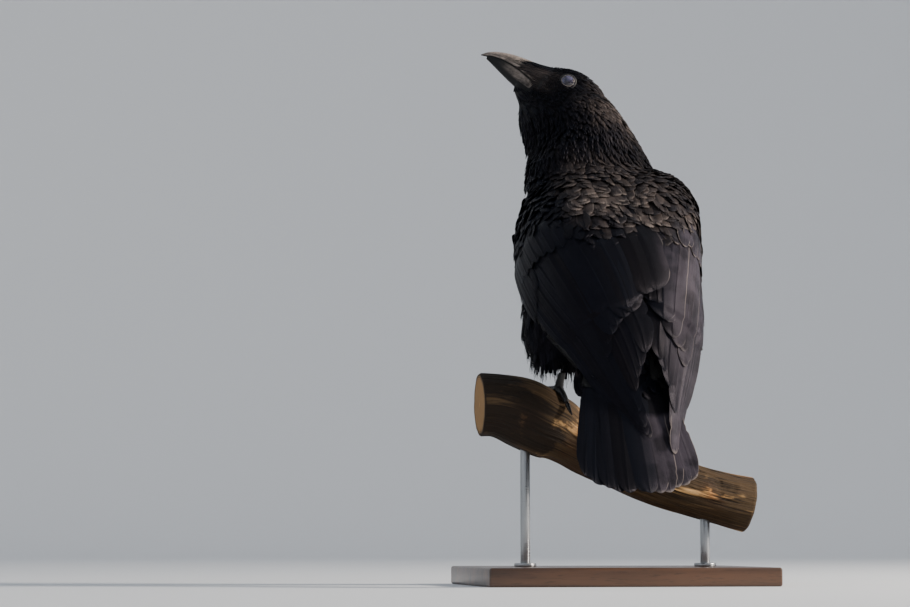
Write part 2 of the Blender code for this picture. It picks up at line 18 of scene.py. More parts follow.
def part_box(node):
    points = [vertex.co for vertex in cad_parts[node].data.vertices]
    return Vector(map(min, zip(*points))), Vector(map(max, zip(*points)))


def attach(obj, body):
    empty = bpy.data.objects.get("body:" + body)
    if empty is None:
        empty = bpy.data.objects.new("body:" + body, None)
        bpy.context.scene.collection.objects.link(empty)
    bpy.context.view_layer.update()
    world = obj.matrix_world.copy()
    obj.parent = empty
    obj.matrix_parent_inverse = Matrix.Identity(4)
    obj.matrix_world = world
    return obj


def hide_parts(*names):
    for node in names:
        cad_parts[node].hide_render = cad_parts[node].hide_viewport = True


bl_info = {
    "name": "Perched carrion crow",
    "version": (1, 0, 0),
    "blender": (4, 5, 0),
    "location": "View3D > Sidebar > Crow",
    "description": "Skin, feathers, bill, eyes, feet, perch, stand and studio of a still crow",
    "category": "Object",
}

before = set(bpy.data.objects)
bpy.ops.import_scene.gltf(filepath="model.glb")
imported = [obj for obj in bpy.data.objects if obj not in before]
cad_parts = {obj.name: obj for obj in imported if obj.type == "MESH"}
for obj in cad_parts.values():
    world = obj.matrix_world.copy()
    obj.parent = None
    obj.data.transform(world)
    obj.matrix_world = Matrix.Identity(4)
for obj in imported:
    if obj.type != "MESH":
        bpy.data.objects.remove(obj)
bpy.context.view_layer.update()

MM = 0.001
PERCH_HEIGHT = 155.0
SIDES = {"left": 1, "right": -1}
FLESH = ("trunk", "neck", "head", "wing_left", "wing_right", "tail", "thigh_left", "thigh_right")
SOLID_HEAD = ("bill_upper", "bill_lower", "eye_left", "eye_right")
BAKE_MAP = "OFBake"
BAKE_PATCH = 0.003  # size of one small feather's patch on the bake map

# Stations of a folded wing, as in the solids: the back edge and the lower edge (x outwards),
# how far the middle swells out, and the thickness.
WING_STATIONS = {
    "left": (
        (42, -58, 186, 51, -75, 170, 5, 4),
        (33, -42, 192, 55, -80, 157, 11, 8),
        (12, -6, 184, 70, -54, 128, 20, 12),
        (-10, 30, 152, 76.5, -12, 94, 25, 13),
        (-22, 58, 108, 70, 32, 56, 21, 10),
        (-22, 78, 60, 48, 62, 22, 14, 7),
        (-16, 93, 8, 20, 88, -20, 6, 4),
        (-10, 108, -38, -4, 108, -40, 1, 1.6),
    ),
    "right": (
        (46, -50, 188, 64, -71, 172, 6, 5),
        (38, -34, 192, 75, -72, 159, 13, 9),
        (18, -6, 183, 82.5, -46, 133, 24, 12),
        (4, 25, 151, 75, -8, 94, 24, 13),
        (3, 51, 106, 68, 38, 56, 18, 10),
        (8, 71, 58, 60, 58, 20, 10, 7),
        (14, 90, 4, 41, 84, -24, 5, 4),
        (20, 111, -52, 26, 111, -52, 1, 1.6),
    ),
}
WING_SWELL = (0.62, 0.55, 0.35)
WING_ROWS, WING_COLUMNS = 121, 41

TAIL_TIP = (4.5, 129.0, -85.0)
TAIL_LENGTH = 178.0
TAIL_PITCH = math.radians(57.0)
TAIL_HALF_WIDTHS = (29.0, 50.0)
TAIL_ROUNDING, TAIL_ARCH = 26.0, 5.0
TAIL_DEPTHS = (6.5, 1.9)
TAIL_ROWS, TAIL_COLUMNS = 61, 49

COAT_DEPTH = 3.9 * MM  # how deep the skin lies under the flight feathers
WING_FLESH = 0.6  # how far along the wing and the tail there is skin under the feathers
TAIL_FLESH = 0.34
WING_COVER = 0.37  # how far along the wing and the tail small feathers reach
SCAPULAR_COVER = 0.11  # how much further they reach beside the back
TAIL_COVER = 0.34

# Middle line of the body from the bill (in the head's frame) to the neck, and on to the tip of
# the tail. Feathers lie along it.
HEAD_LINE = ((88, 0, -10), (45, 0, -9), (12, 0, -6), (-16, 0, -12))
SPINE = (
    (18, -70, 229), (10, -66, 205), (3, -54, 175), (1, -32, 142), (0, -4, 108),
    (0, 26, 76), (0, 52, 44), (0, 68, 22), (3, 98, -34), (4.5, 129, -85),
)

# Stations of the bill in the head's frame: x forwards, top ridge, cutting edge, underside and
# half width.
BILL_STATIONS = (
    (33.0, 6.9, -10.8, -22.0, 8.6),
    (40.0, 6.8, -9.6, -21.0, 8.0),
    (50.0, 6.0, -7.4, -19.3, 7.0),
    (60.0, 4.5, -6.0, -17.0, 5.9),
    (70.0, 2.1, -5.9, -14.3, 4.7),
    (79.0, -1.4, -7.2, -11.9, 3.2),
    (85.0, -5.0, -9.0, -10.5, 1.9),
)
BILL_TIP = (89.5, -10.6)
BILL_DROOP = math.radians(8.2)  # line from eye to bill tip against the head's own axis
EYE_FROM_ORIGIN = (7.5, 1.2)  # the eyes' middle, forwards and up from the head's origin
GAPE = 34.0  # how far forward the bare sides of the bill begin


# --- small helpers ---
def linear(hex_colour):
    """Turns an sRGB hex colour into the linear values that Blender's nodes use."""
    channels = (int(hex_colour[i:i + 2], 16) / 255 for i in (1, 3, 5))
    return tuple(c / 12.92 if c <= 0.04045 else ((c + 0.055) / 1.055) ** 2.4 for c in channels)


def unit(vectors):
    vectors = np.asarray(vectors, float)
    return vectors / np.maximum(np.linalg.norm(vectors, axis=-1, keepdims=True), 1e-12)


def from_bird(points):
    """Millimetres in the bird's frame to metres in the row's frame."""
    return (np.asarray(points, float) + (0, 0, PERCH_HEIGHT)) * MM


def from_row(points):
    """Metres in the row's frame to millimetres in the bird's frame."""
    return np.asarray(points, float) / MM - (0, 0, PERCH_HEIGHT)


def smooth_table(rows, count):
    """Reads a table of stations as smooth curves at `count` even places, first to last."""
    rows = np.array(rows, dtype=float)
    slopes = np.gradient(rows, axis=0)
    places = np.linspace(0, len(rows) - 1, count)
    first = np.minimum(places.astype(int), len(rows) - 2)
    t = (places - first)[:, None]
    return (
        rows[first] * (2 * t**3 - 3 * t**2 + 1)
        + slopes[first] * (t**3 - 2 * t**2 + t)
        + rows[first + 1] * (3 * t**2 - 2 * t**3)
        + slopes[first + 1] * (t**3 - t**2)
    )


def smooth_step(value, low, high):
    t = np.clip((np.asarray(value, float) - low) / (high - low), 0, 1)
    return t * t * (3 - 2 * t)


def bell(value, width):
    return np.exp(-((value / width) ** 2))


def wrapped(angle):
    """The same angle between minus pi and pi."""
    return np.angle(np.exp(1j * angle))


def circle(count):
    return [2 * math.pi * k / count for k in range(count)]


def kd_tree(points):
    tree = KDTree(len(points))
    for i, point in enumerate(points):
        tree.insert(point, i)
    tree.balance()
    return tree


def new_object(name, data, material=None):
    obj = bpy.data.objects.new(name, data)
    bpy.context.scene.collection.objects.link(obj)
    if material:
        data.materials.clear()
        data.materials.append(material)
    return obj


def mesh_of(name, mesh):
    """Turns a bmesh into mesh data."""
    data = bpy.data.meshes.new(name)
    mesh.to_mesh(data)
    mesh.free()
    return data


def mesh_from(name, points, faces):
    data = bpy.data.meshes.new(name)
    data.from_pydata([tuple(p) for p in points], [], [tuple(f) for f in faces])
    data.update()
    return data


def ring_faces(count, ring, closed=False):
    """Quads between `count` rings of points, and end caps unless the last ring meets the first."""
    faces = [
        (i * ring + k, i * ring + (k + 1) % ring,
         (i + 1) % count * ring + (k + 1) % ring, (i + 1) % count * ring + k)
        for i in range(count - (not closed)) for k in range(ring)
    ]
    if not closed:
        faces += [tuple(range(ring))[::-1], tuple(range((count - 1) * ring, count * ring))]
    return faces


def outward_mesh(name, points, faces, sharp=None):
    """A smooth closed mesh with every face turned outwards, sharp over `sharp` degrees."""
    data = mesh_from(name, points, faces)
    mesh = bmesh.new()
    mesh.from_mesh(data)
    bmesh.ops.recalc_face_normals(mesh, faces=mesh.faces)
    mesh.to_mesh(data)
    mesh.free()
    data.shade_smooth()
    if sharp:
        data.set_sharp_from_angle(angle=math.radians(sharp))
    return data


def tube_mesh(name, rings, closed=False, sharp=None):
    """A closed tube through rings of points."""
    rings = np.asarray(rings, float)
    faces = ring_faces(*rings.shape[:2], closed)
    return outward_mesh(name, rings.reshape(-1, 3), faces, sharp)


def read(items, field, width, kind=np.float32):
    """A Blender collection's field as an array with `width` numbers to an item."""
    found = np.empty(len(items) * width, kind)
    items.foreach_get(field, found)
    found = found.astype(float) if kind == np.float32 else found
    return found.reshape(-1, width) if width > 1 else found


def write(items, field, values):
    items.foreach_set(field, np.ascontiguousarray(values, np.float32).ravel())


def set_attribute(data, name, values, vector=False):
    kind = "FLOAT_VECTOR" if vector else "FLOAT"
    attribute = data.attributes.new(name, kind, "POINT")
    write(attribute.data, "vector" if vector else "value", values)


def modify(obj, kind, **settings):
    modifier = obj.modifiers.new(kind.lower(), kind)
    for name, value in settings.items():
        setattr(modifier, name, value)
    return modifier


def finished(obj):
    """Turns an object's modifiers into a plain mesh."""
    bpy.context.view_layer.update()
    graph = bpy.context.evaluated_depsgraph_get()
    data = bpy.data.meshes.new_from_object(obj.evaluated_get(graph))
    old = obj.data
    obj.modifiers.clear()
    obj.data = data
    bpy.data.meshes.remove(old)
    return obj


def place(obj, slot, *nodes):
    """Fixes a finished piece to the still body and hides the nodes it stands for; the slot is not
    used.
    """
    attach(obj, "root")
    if nodes:
        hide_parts(*nodes)
    return obj


def merged_copy(*nodes):
    """One bmesh of several CAD nodes, with each node's loose triangles merged."""
    whole = bmesh.new()
    for node in nodes:
        whole.from_mesh(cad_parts[node].data)
    bmesh.ops.remove_doubles(whole, verts=whole.verts, dist=1e-6)
    return whole


def remeshed(name, mesh, cell, rounds, flat=False):
    """One even, smoothed surface round the solids of a bmesh."""
    obj = new_object(name, mesh_of(name, mesh))
    modify(obj, "REMESH", mode="VOXEL", voxel_size=cell)
    modify(obj, "SMOOTH", iterations=rounds)
    if flat:
        modify(obj, "TRIANGULATE")
    return finished(obj)


def box_centre(node):
    low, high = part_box(node)
    return (low + high) / 2


# --- the head's own frame ---
def head_frame():
    """Origin and forward, left and up directions of the head, from the eyes and the bill's tip."""
    left_eye, right_eye = (np.array(box_centre("eye_" + side)) for side in SIDES)
    middle = (left_eye + right_eye) / 2
    left = unit(left_eye - right_eye)
    points = np.array([v.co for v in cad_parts["bill_upper"].data.vertices])
    tip = points[np.argmax(np.linalg.norm(points - middle, axis=1))]
    to_tip = unit(tip - middle - left * np.dot(tip - middle, left))
    forward = to_tip * math.cos(BILL_DROOP) + np.cross(to_tip, left) * math.sin(BILL_DROOP)
    up = np.cross(forward, left)
    ahead, above = EYE_FROM_ORIGIN
    return middle - (forward * ahead + up * above) * MM, forward, left, up


HEAD_ORIGIN, HEAD_FORWARD, HEAD_LEFT, HEAD_UP = head_frame()
HEAD_AXES = np.array([HEAD_FORWARD, HEAD_LEFT, HEAD_UP])


def from_head(points):
    """Millimetres in the head's frame to metres in the row's frame."""
    return HEAD_ORIGIN + np.asarray(points, float) @ HEAD_AXES * MM


def to_head(points):
    return (np.asarray(points, float) - HEAD_ORIGIN) @ HEAD_AXES.T / MM


# --- wing and tail surfaces ---
class Surface:
    """A sheet of points read by two shares, t along it and v across it, with its thickness."""

    def __init__(self, points, thickness):
        self.points, self.thickness = points, thickness
        self.normals = unit(np.cross(np.gradient(points, axis=0), np.gradient(points, axis=1)))
        middle = len(points) // 2, points.shape[1] // 2
        if self.normals[middle] @ (points[middle] - from_bird((0, 10, 90))) < 0:
            self.normals = -self.normals
        self.widths = np.linalg.norm(np.diff(points, axis=1), axis=2).sum(1)
        self.tree = kd_tree(points.reshape(-1, 3))

    def read(self, table, t, v):
        rows, columns = table.shape[:2]
        i, j = np.clip(t, 0, 1) * (rows - 1), np.clip(v, 0, 1) * (columns - 1)
        i0 = np.minimum(i.astype(int), rows - 2)
        j0 = np.minimum(j.astype(int), columns - 2)
        fi, fj = i - i0, j - j0
        if table.ndim == 3:
            fi, fj = fi[..., None], fj[..., None]
        low, high = (table[k, j0] * (1 - fj) + table[k, j0 + 1] * fj for k in (i0, i0 + 1))
        return low * (1 - fi) + high * fi

    def at(self, t, v):
        return self.read(self.points, t, v)

    def normal(self, t, v):
        return unit(self.read(self.normals, t, v))

    def half_depth(self, t, v):
        return self.read(self.thickness, t, v) / 2

    def shares(self, points):
        """The t and v of the sheet's points nearest to some points."""
        rows, columns = self.points.shape[:2]
        found = np.array([self.tree.find(p)[1] for p in points])
        return (found // columns) / (rows - 1), (found % columns) / (columns - 1)

    def along(self, t, v, step=0.02):
        ends = np.minimum(t + step, 1), np.maximum(t - step, 0)
        return unit(self.at(ends[0], v) - self.at(ends[1], v))

    def across(self, t, v, step=0.04):
        ends = np.minimum(v + step, 1), np.maximum(v - step, 0)
        return unit(self.at(t, ends[0]) - self.at(t, ends[1]))


def wing_surface(side):
    fine = smooth_table(WING_STATIONS[side], WING_ROWS)
    v = np.linspace(0, 1, WING_COLUMNS)[None, :, None]
    inner, outer = fine[:, None, 0:3], fine[:, None, 3:6]
    swell = unit(WING_SWELL) * fine[:, None, 6:7] * (2 * v * (1 - v) + 0.5 * np.sin(np.pi * v))
    points = inner + (outer - inner) * v + swell
    thickness = np.maximum(1.0, fine[:, 7:8] * np.sin(np.pi * v[0, :, 0])[None] ** 0.6)
    return Surface(from_bird(points * (SIDES[side], 1, 1)), thickness * MM)


def tail_surface():
    t = np.linspace(0, 1, TAIL_ROWS)[:, None, None]
    side = np.linspace(-1, 1, TAIL_COLUMNS)[None, :, None]
    down = np.array((0, math.cos(TAIL_PITCH), -math.sin(TAIL_PITCH)))
    back = np.array((0, math.sin(TAIL_PITCH), math.cos(TAIL_PITCH)))
    root, tip = TAIL_HALF_WIDTHS
    half = root + (tip - root) * t**0.8
    length = TAIL_LENGTH * (t - 1) - TAIL_ROUNDING * abs(side) ** 3 * t**2
    arch = TAIL_ARCH * (1 - side * side) * (1 - 0.4 * t)
    points = TAIL_TIP + down * length + np.array((1, 0, 0)) * (-half * side) + back * arch
    middle = TAIL_DEPTHS[0] + (TAIL_DEPTHS[1] - TAIL_DEPTHS[0]) * t[..., 0]
    return Surface(from_bird(points), middle * (1 - 0.55 * side[..., 0] ** 2) * MM)


# --- where feathers lie ---
FLOW_REACH = 20.0 * MM  # how far each part of the body's middle line sways the feathers
FLOW_STEP = 4 * MM
FLOW_BATCH = 2000
ENVELOPE_CELL = 1.8 * MM
HEAD_DENSITY = 5  # how many more feathers are tried on each part of the head


class Flow:
    """The way that feathers lie: from the bill over the head and down the body to the tail."""

    def __init__(self):
        line = np.vstack([from_head(HEAD_LINE), from_bird(SPINE)])
        steps = np.linalg.norm(np.diff(line, axis=0), axis=1)
        place_of = np.concatenate(([0], np.cumsum(steps)))
        places = np.arange(0, place_of[-1], FLOW_STEP)
        self.points = np.stack([np.interp(places, place_of, line[:, k]) for k in range(3)], 1)
        self.ways = unit(np.gradient(self.points, axis=0))

    def at(self, points, normals):
        """Unit directions along the surface at some points."""
        found = np.empty_like(points)
        for start in range(0, len(points), FLOW_BATCH):
            part = points[start:start + FLOW_BATCH]
            far = ((part[:, None] - self.points[None]) ** 2).sum(2)
            share = np.exp(-(far - far.min(1, keepdims=True)) / (2 * FLOW_REACH**2))
            found[start:start + FLOW_BATCH] = share @ self.ways
        return on_surface(found, normals)


def on_surface(directions, normals):
    """Lays directions flat on a surface."""
    return unit(directions - normals * (directions * normals).sum(1, keepdims=True))


class Envelope:
    """One closed surface over the flesh, the bill and the eyes, out to the tips of the coat."""

    def __init__(self):
        solids = merged_copy(*FLESH, *SOLID_HEAD)
        self.object = remeshed("envelope", solids, ENVELOPE_CELL, 6, flat=True)
        data = self.object.data
        self.triangles = read(data.loops, "vertex_index", 1, np.int32).reshape(-1, 3)
        self.points = read(data.vertices, "co", 3)
        self.normals = read(data.vertices, "normal", 3)
        self.tree = BVHTree.FromPolygons(self.points.tolist(), self.triangles.tolist())

    def faces_at(self, points):
        return np.array([self.tree.find_nearest(p)[2] for p in points])

    def nearest(self, points):
        """Nearest points on the surface, with smooth normals there."""
        hits = [self.tree.find_nearest(p) for p in points]
        spots = np.array([h[0] for h in hits])
        corners = self.triangles[np.array([h[2] for h in hits])]
        far = np.linalg.norm(self.points[corners] - spots[:, None], axis=2)
        return spots, unit((self.normals[corners] * (1 / (far + 1e-6))[..., None]).sum(1))

    def scatter(self, count, rng):
        """Random points over the surface, closer together on the head."""
        a, b, c = (self.points[self.triangles[:, k]] for k in range(3))
        areas = np.linalg.norm(np.cross(b - a, c - a), axis=1) / 2
        areas = areas * (1 + HEAD_DENSITY * smooth_step(from_row(a)[:, 2], 215, 240))
        chosen = rng.choice(len(areas), count, p=areas / areas.sum())
        r1, r2 = np.sqrt(rng.random(count))[:, None], rng.random(count)[:, None]

        def blend(a, b, c):
            return a * (1 - r1) + b * r1 * (1 - r2) + c * r1 * r2

        corners = self.normals[self.triangles[chosen]]
        return blend(a[chosen], b[chosen], c[chosen]), unit(blend(*corners.swapaxes(0, 1)))


def thinned(points, spacing, rng):
    """Leaves points at least their own spacing apart, in random order."""
    tree = kd_tree(points)
    taken, left_out = 1, 2
    state = np.zeros(len(points), np.int8)
    for i in rng.permutation(len(points)):
        if not state[i]:
            for _, j, _ in tree.find_range(points[i], spacing[i]):
                state[j] = left_out
            state[i] = taken
    return np.flatnonzero(state == taken)


def wing_cover(v):
    """How far small feathers reach along the wing, further beside the back than at its edge."""
    return WING_COVER + SCAPULAR_COVER * (1 - smooth_step(v, 0.25, 0.65))


def tail_cover(v):
    return TAIL_COVER + 0 * v


class Body:
    """What the plumage is laid out on, made once and shared by the operators."""

    def __init__(self):
        self.envelope = Envelope()
        self.flow = Flow()
        self.wings = {side: wing_surface(side) for side in SIDES}
        self.tail = tail_surface()
        self.trees = {}
        for node in FLESH + SOLID_HEAD:
            mesh = merged_copy(node)
            self.trees[node] = BVHTree.FromBMesh(mesh)
            mesh.free()

    def nodes_at(self, points):
        """The name of the solid nearest to each point."""
        names = list(self.trees)
        far = np.array([[self.trees[n].find_nearest(p)[3] for n in names] for p in points])
        return np.array(names)[far.argmin(1)]


SHARED = {}


def body():
    """The shared layout, made when the first operator asks for it."""
    if "body" not in SHARED:
        SHARED["body"] = Body()
    return SHARED["body"]


# --- coat depth and markings ---
def coat_depth(points):
    """How deep the feathers are over the skin, in metres: thin on the face, deep on the body."""
    height = from_row(points)[:, 2]
    face = 0.9 + 2.6 * smooth_step(45 - to_head(points)[:, 0], 0, 85)
    depth = np.where(height > 235, np.minimum(face, 3.5), 3.5)
    return (depth + 0.8 * smooth_step(215 - height, 0, 60)) * MM


def wear_and_light(points):
    """How brown the plumage is, 0 to 1, most on the nape, mantle and shoulders: partly the real
    browning of old feathers, partly painted light from the right.
    """
    (x, y, z), (ahead, _, above) = from_row(points).T, to_head(points).T
    nape = smooth_step(-ahead, -12, 25) * smooth_step(above, -30, 0) * smooth_step(z, 205, 225)
    # Less on the bird's left side, which lies in shade: painted light from the right.
    low = 105 + 33 * smooth_step(x, -48, 5)
    back = smooth_step(y, -75, -35) * smooth_step(z, low, low + 14)
    back = back * (1 - smooth_step(x, 32, 52)) * (1 - smooth_step(z, 198, 222))
    # Painted light: a lit band across the mantle and the lit right shoulder.
    band = bell(z - 168 - 0.3 * x, 24) * smooth_step(x, -70, -10)
    shoulder = smooth_step(-x, 48, 66) * (1 - smooth_step(z, 140, 175))
    back = back * (0.38 + 0.62 * np.maximum(band, shoulder))
    lores = smooth_step(ahead, 10, 20) * (1 - smooth_step(ahead, 36, 44))
    lores = lores * smooth_step(above, -20, -12) * (1 - smooth_step(above, 2, 7))
    return np.clip(np.max([0.9 * nape, back, 0.7 * lores], axis=0), 0, 1)


def quill_painted_light(points):
    """Painted light on the flight feathers, 0 to 1: the lit right wing, more towards its top, and
    the right side of the tail; none on the left wing or the left of the tail, which lie in shade.
    """
    x, _, z = from_row(points).T
    wing = smooth_step(-x, 22, 40) * (0.45 + 0.35 * smooth_step(z, 20, 90))
    return np.where(z > -20, wing, 0.85 * smooth_step(-x, -6, 16))


# --- node trees ---
class Nodes:
    """A node tree being built: a method adds a node and gives its result's socket."""

    def __init__(self, tree):
        self.tree = tree

    def add(self, kind, inputs=None, **settings):
        """Adds one node: settings are its own values, inputs are values or sockets to link."""
        node = self.tree.nodes.new(kind)
        for name, value in settings.items():
            setattr(node, name, value)
        for key, value in (inputs or {}).items():
            if isinstance(value, bpy.types.NodeSocket):
                self.tree.links.new(value, node.inputs[key])
            else:
                node.inputs[key].default_value = value
        return node

    def maths(self, operation, *values):
        inputs = dict(enumerate(values))
        return self.add("ShaderNodeMath", inputs, operation=operation).outputs[0]

    def times(self, first, second, limit=False):
        node = self.add("ShaderNodeMath", {0: first, 1: second}, operation="MULTIPLY")
        node.use_clamp = limit
        return node.outputs[0]

    def line(self, value, slope, start):
        return self.maths("MULTIPLY_ADD", value, slope, start)

    def parts(self, vector):
        return self.add("ShaderNodeSeparateXYZ", {0: vector}).outputs

    def joined(self, *parts):
        return self.add("ShaderNodeCombineXYZ", dict(enumerate(parts))).outputs[0]


class Finish(Nodes):
    """A procedural material being built round one Principled shader."""

    def __init__(self, name):
        self.material = bpy.data.materials.new(name)
        self.material.use_nodes = True
        super().__init__(self.material.node_tree)
        self.tree.nodes.clear()
        self.shader = self.add("ShaderNodeBsdfPrincipled")
        self.add("ShaderNodeOutputMaterial", {"Surface": self.shader.outputs[0]})

    @property
    def coords(self):
        return self.add("ShaderNodeTexCoord").outputs["Object"]

    def own(self, name, output="Fac"):
        """One of the piece's own attributes."""
        return self.add("ShaderNodeAttribute", attribute_name=name).outputs[output]

    def stretched(self, scale, at=None):
        inputs = {"Vector": at or self.coords, "Scale": scale}
        return self.add("ShaderNodeMapping", inputs).outputs[0]

    def noise(self, scale, detail=3.0, roughness=0.55, at=None):
        inputs = {"Scale": scale, "Detail": detail, "Roughness": roughness}
        return self.add("ShaderNodeTexNoise", {"Vector": at or self.coords, **inputs}).outputs[0]

    def cells(self, scale):
        inputs = {"Vector": self.coords, "Scale": scale}
        return self.add("ShaderNodeTexVoronoi", inputs).outputs[0]

    def ranged(self, value, low, high, out_low=0.0, out_high=1.0):
        """Maps a value's range to another, smoothly and without running over."""
        inputs = {"Value": value, 1: low, 2: high, 3: out_low, 4: out_high}
        settings = {"interpolation_type": "SMOOTHSTEP", "clamp": True}
        return self.add("ShaderNodeMapRange", inputs, **settings).outputs[0]

    def mixed(self, share, low, high):
        """A colour between two, each a colour or a socket."""
        inputs = {0: share, 6: four(low), 7: four(high)}
        return self.add("ShaderNodeMix", inputs, data_type="RGBA").outputs[2]

    def done(self, base, roughness, bump=None, **others):
        """Sets the shader: its colour, its roughness, (height, depth, strength) and the rest."""
        values = {"Base Color": four(base), "Roughness": roughness}
        values.update({name.replace("_", " "): value for name, value in others.items()})
        if bump:
            inputs = dict(zip(("Height", "Distance", "Strength"), bump))
            values["Normal"] = self.add("ShaderNodeBump", inputs).outputs[0]
        for name, value in values.items():
            if isinstance(value, bpy.types.NodeSocket):
                self.tree.links.new(value, self.shader.inputs[name])
            else:
                self.shader.inputs[name].default_value = value
        return self.material


def four(colour):
    """A colour with its alpha; sockets pass through."""
    return colour if isinstance(colour, bpy.types.NodeSocket) else (*colour[:3], 1.0)


BARB_SLANT = 1.3


def feather_finish(name, plumage, worn_and_lit, roughness, specular, barb_spacing, edge_highlight, rim_start):
    """Black keratin vane: fine barbs in a chevron on either side of the shaft.

    The barbs break up the gloss into a soft sheen. The brown on the back is partly real browning
    and partly painted light; the pale edges and tips are a painted highlight, cold blue as a
    painted sky reflection.
    """
    finish = Finish(name)
    x, y, _ = finish.parts(finish.own("vane", "Vector"))
    half, length, _ = finish.parts(finish.own("size", "Vector"))
    brown = finish.own("wear_and_light")
    aside = finish.maths("ABSOLUTE", x)
    # real barbs are 0.3 mm apart; they are drawn coarser so that they show
    across = finish.times(finish.times(aside, half), BARB_SLANT)
    slant = finish.maths("SUBTRACT", finish.times(y, length), across)
    wander = finish.times(finish.noise(180.0, 2.0), 9.0)
    phase = finish.line(slant, 2 * math.pi / barb_spacing, wander)
    barbs = finish.line(finish.maths("SINE", phase), 0.5, 0.5)
    black = finish.mixed(finish.own("tone"), plumage.black, plumage.blue_black)
    patches = finish.ranged(finish.noise(45.0), 0.36, 0.58, 0.25)
    # Patches of the given old colour where the brown mask is high: partly real browning, partly
    # painted light.
    base = finish.mixed(finish.times(brown, patches, limit=True), black, worn_and_lit)
    # Painted highlight on the vane's edges and tip: cold blue as a painted sky reflection, pale
    # beige where the brown mask is high.
    rim = finish.ranged(aside, rim_start, 1.0)
    tip = finish.ranged(y, 0.08 + rim_start, 1.0)
    edge = finish.times(finish.maths("MAXIMUM", rim, tip), edge_highlight, limit=True)
    edge = finish.times(edge, finish.line(brown, 0.9, 0.1))
    rim_highlight_colour = finish.mixed(brown, plumage.edge_sky_reflection, plumage.edge_highlight_brown)
    base = finish.mixed(edge, base, rim_highlight_colour)
    gloss = finish.line(barbs, 0.12, roughness)
    return finish.done(
        finish.mixed(finish.times(barbs, 0.35), base, plumage.deep_black),
        finish.line(brown, 0.08, gloss),
        (barbs, 0.00012, 0.6),
        IOR=1.5,
        Specular_IOR_Level=specular,
        Specular_Tint=four(plumage.gloss),
        Sheen_Weight=0.01,
        Sheen_Roughness=0.35,
        Sheen_Tint=four(plumage.sheen),
    )


def skin_finish(plumage):
    """Dark skin and down under the feathers, with a faint brown from the coat's mask: partly the
    real browning of old feathers, partly painted light.
    """
    finish = Finish("down_covered_skin")
    down = finish.noise(900.0, 4.0)
    faint = finish.times(finish.times(finish.own("wear_and_light"), finish.noise(45.0)), 0.3)
    base = finish.mixed(faint, plumage.deep_black, plumage.worn_and_lit_brown)
    return finish.done(finish.mixed(down, base, plumage.deep_black), 0.75, (down, 0.0004))


# --- the skin ---
SKIN_LEAST = 0.15 * MM  # how far in the skin lies at the least
FLESH_REACH = 20 * MM  # how deep the flesh is taken to be where no far side is found
BILL_INSET, RIDGE_INSET = 1.6, 0.8  # how far the skin stays inside the bill's sides and ridge
SHANK_REACH, SHANK_THINNING = 30, 0.82  # how far round a shank the skin is thinned, and how much
SHEET_REACH = 14 * MM  # how far off a wing or the tail the skin still belongs to it
TIP_REACH = 9 * MM  # the same near the tips, where the skin is drawn back
TIP_THINNING, TIP_LEFT = 0.85, 0.15  # how much the skin is thinned there, and how much is left
LEAST_ROOF = 0.25 * MM


def make_skin(plumage):
    """One closed skin, the envelope moved in by the depth of the coat."""
    shared = body()
    envelope = shared.envelope
    points, normals = envelope.points, envelope.normals
    room = np.array([
        envelope.tree.ray_cast(p - n * 0.2 * MM, -n)[3] or FLESH_REACH
        for p, n in zip(points, normals)
    ])
    depth = np.clip(np.minimum(coat_depth(points), room * 0.5 - 0.2 * MM), SKIN_LEAST, None)
    data = envelope.object.data.copy()
    data.name = "skin"
    inner = off_the_shanks(off_the_bill(drawn_in(points - normals * depth[:, None])))
    write(data.vertices, "co", inner)
    skin = new_object("skin", data, skin_finish(plumage))
    unwrap(skin)
    # The brown mask: partly real browning, partly painted light.
    set_attribute(data, "wear_and_light", wear_and_light(points))
    data.shade_smooth()
    shared.depth = depth
    shared.skin_map = read(data.uv_layers[BAKE_MAP].data, "uv", 2).reshape(-1, 3, 2).mean(1)
    place(skin, "feathers", *FLESH)


def off_the_bill(points):
    """Narrows the skin in front of the gape, so that the sides of the bill stand clear of it."""
    head = to_head(points)
    stations, ridges, _, _, halves = np.array(BILL_STATIONS).T
    width = np.interp(head[:, 0], stations, halves) - BILL_INSET
    share = smooth_step(head[:, 0], GAPE - 5, GAPE + 3) * smooth_step(head[:, 2], -26, -20)
    narrow = np.sign(head[:, 1]) * np.minimum(abs(head[:, 1]), width)
    head[:, 1] += (narrow - head[:, 1]) * share
    top = np.interp(head[:, 0], stations, ridges) - RIDGE_INSET
    head[:, 2] += (np.minimum(head[:, 2], top) - head[:, 2]) * share
    return from_head(head)


def off_the_shanks(points):
    """Thins the skin at the lower end of each thigh to the shank that comes out of it."""
    spots = from_row(points)
    for side, sign in SIDES.items():
        ankle = np.array(ANKLES[side], float)
        along = unit(from_row(foot_centre(side)) - ankle)
        middle = ankle + along * ((spots - ankle) @ along)[:, None]
        near = np.linalg.norm(spots - middle, axis=1) < SHANK_REACH
        near &= (spots[:, 0] * sign > 15) & (spots[:, 1] < 45)
        share = SHANK_THINNING * smooth_step(ankle[2] - spots[:, 2], -6, 10) * near
        spots = spots + (middle - spots) * share[:, None]
    return from_bird(spots)


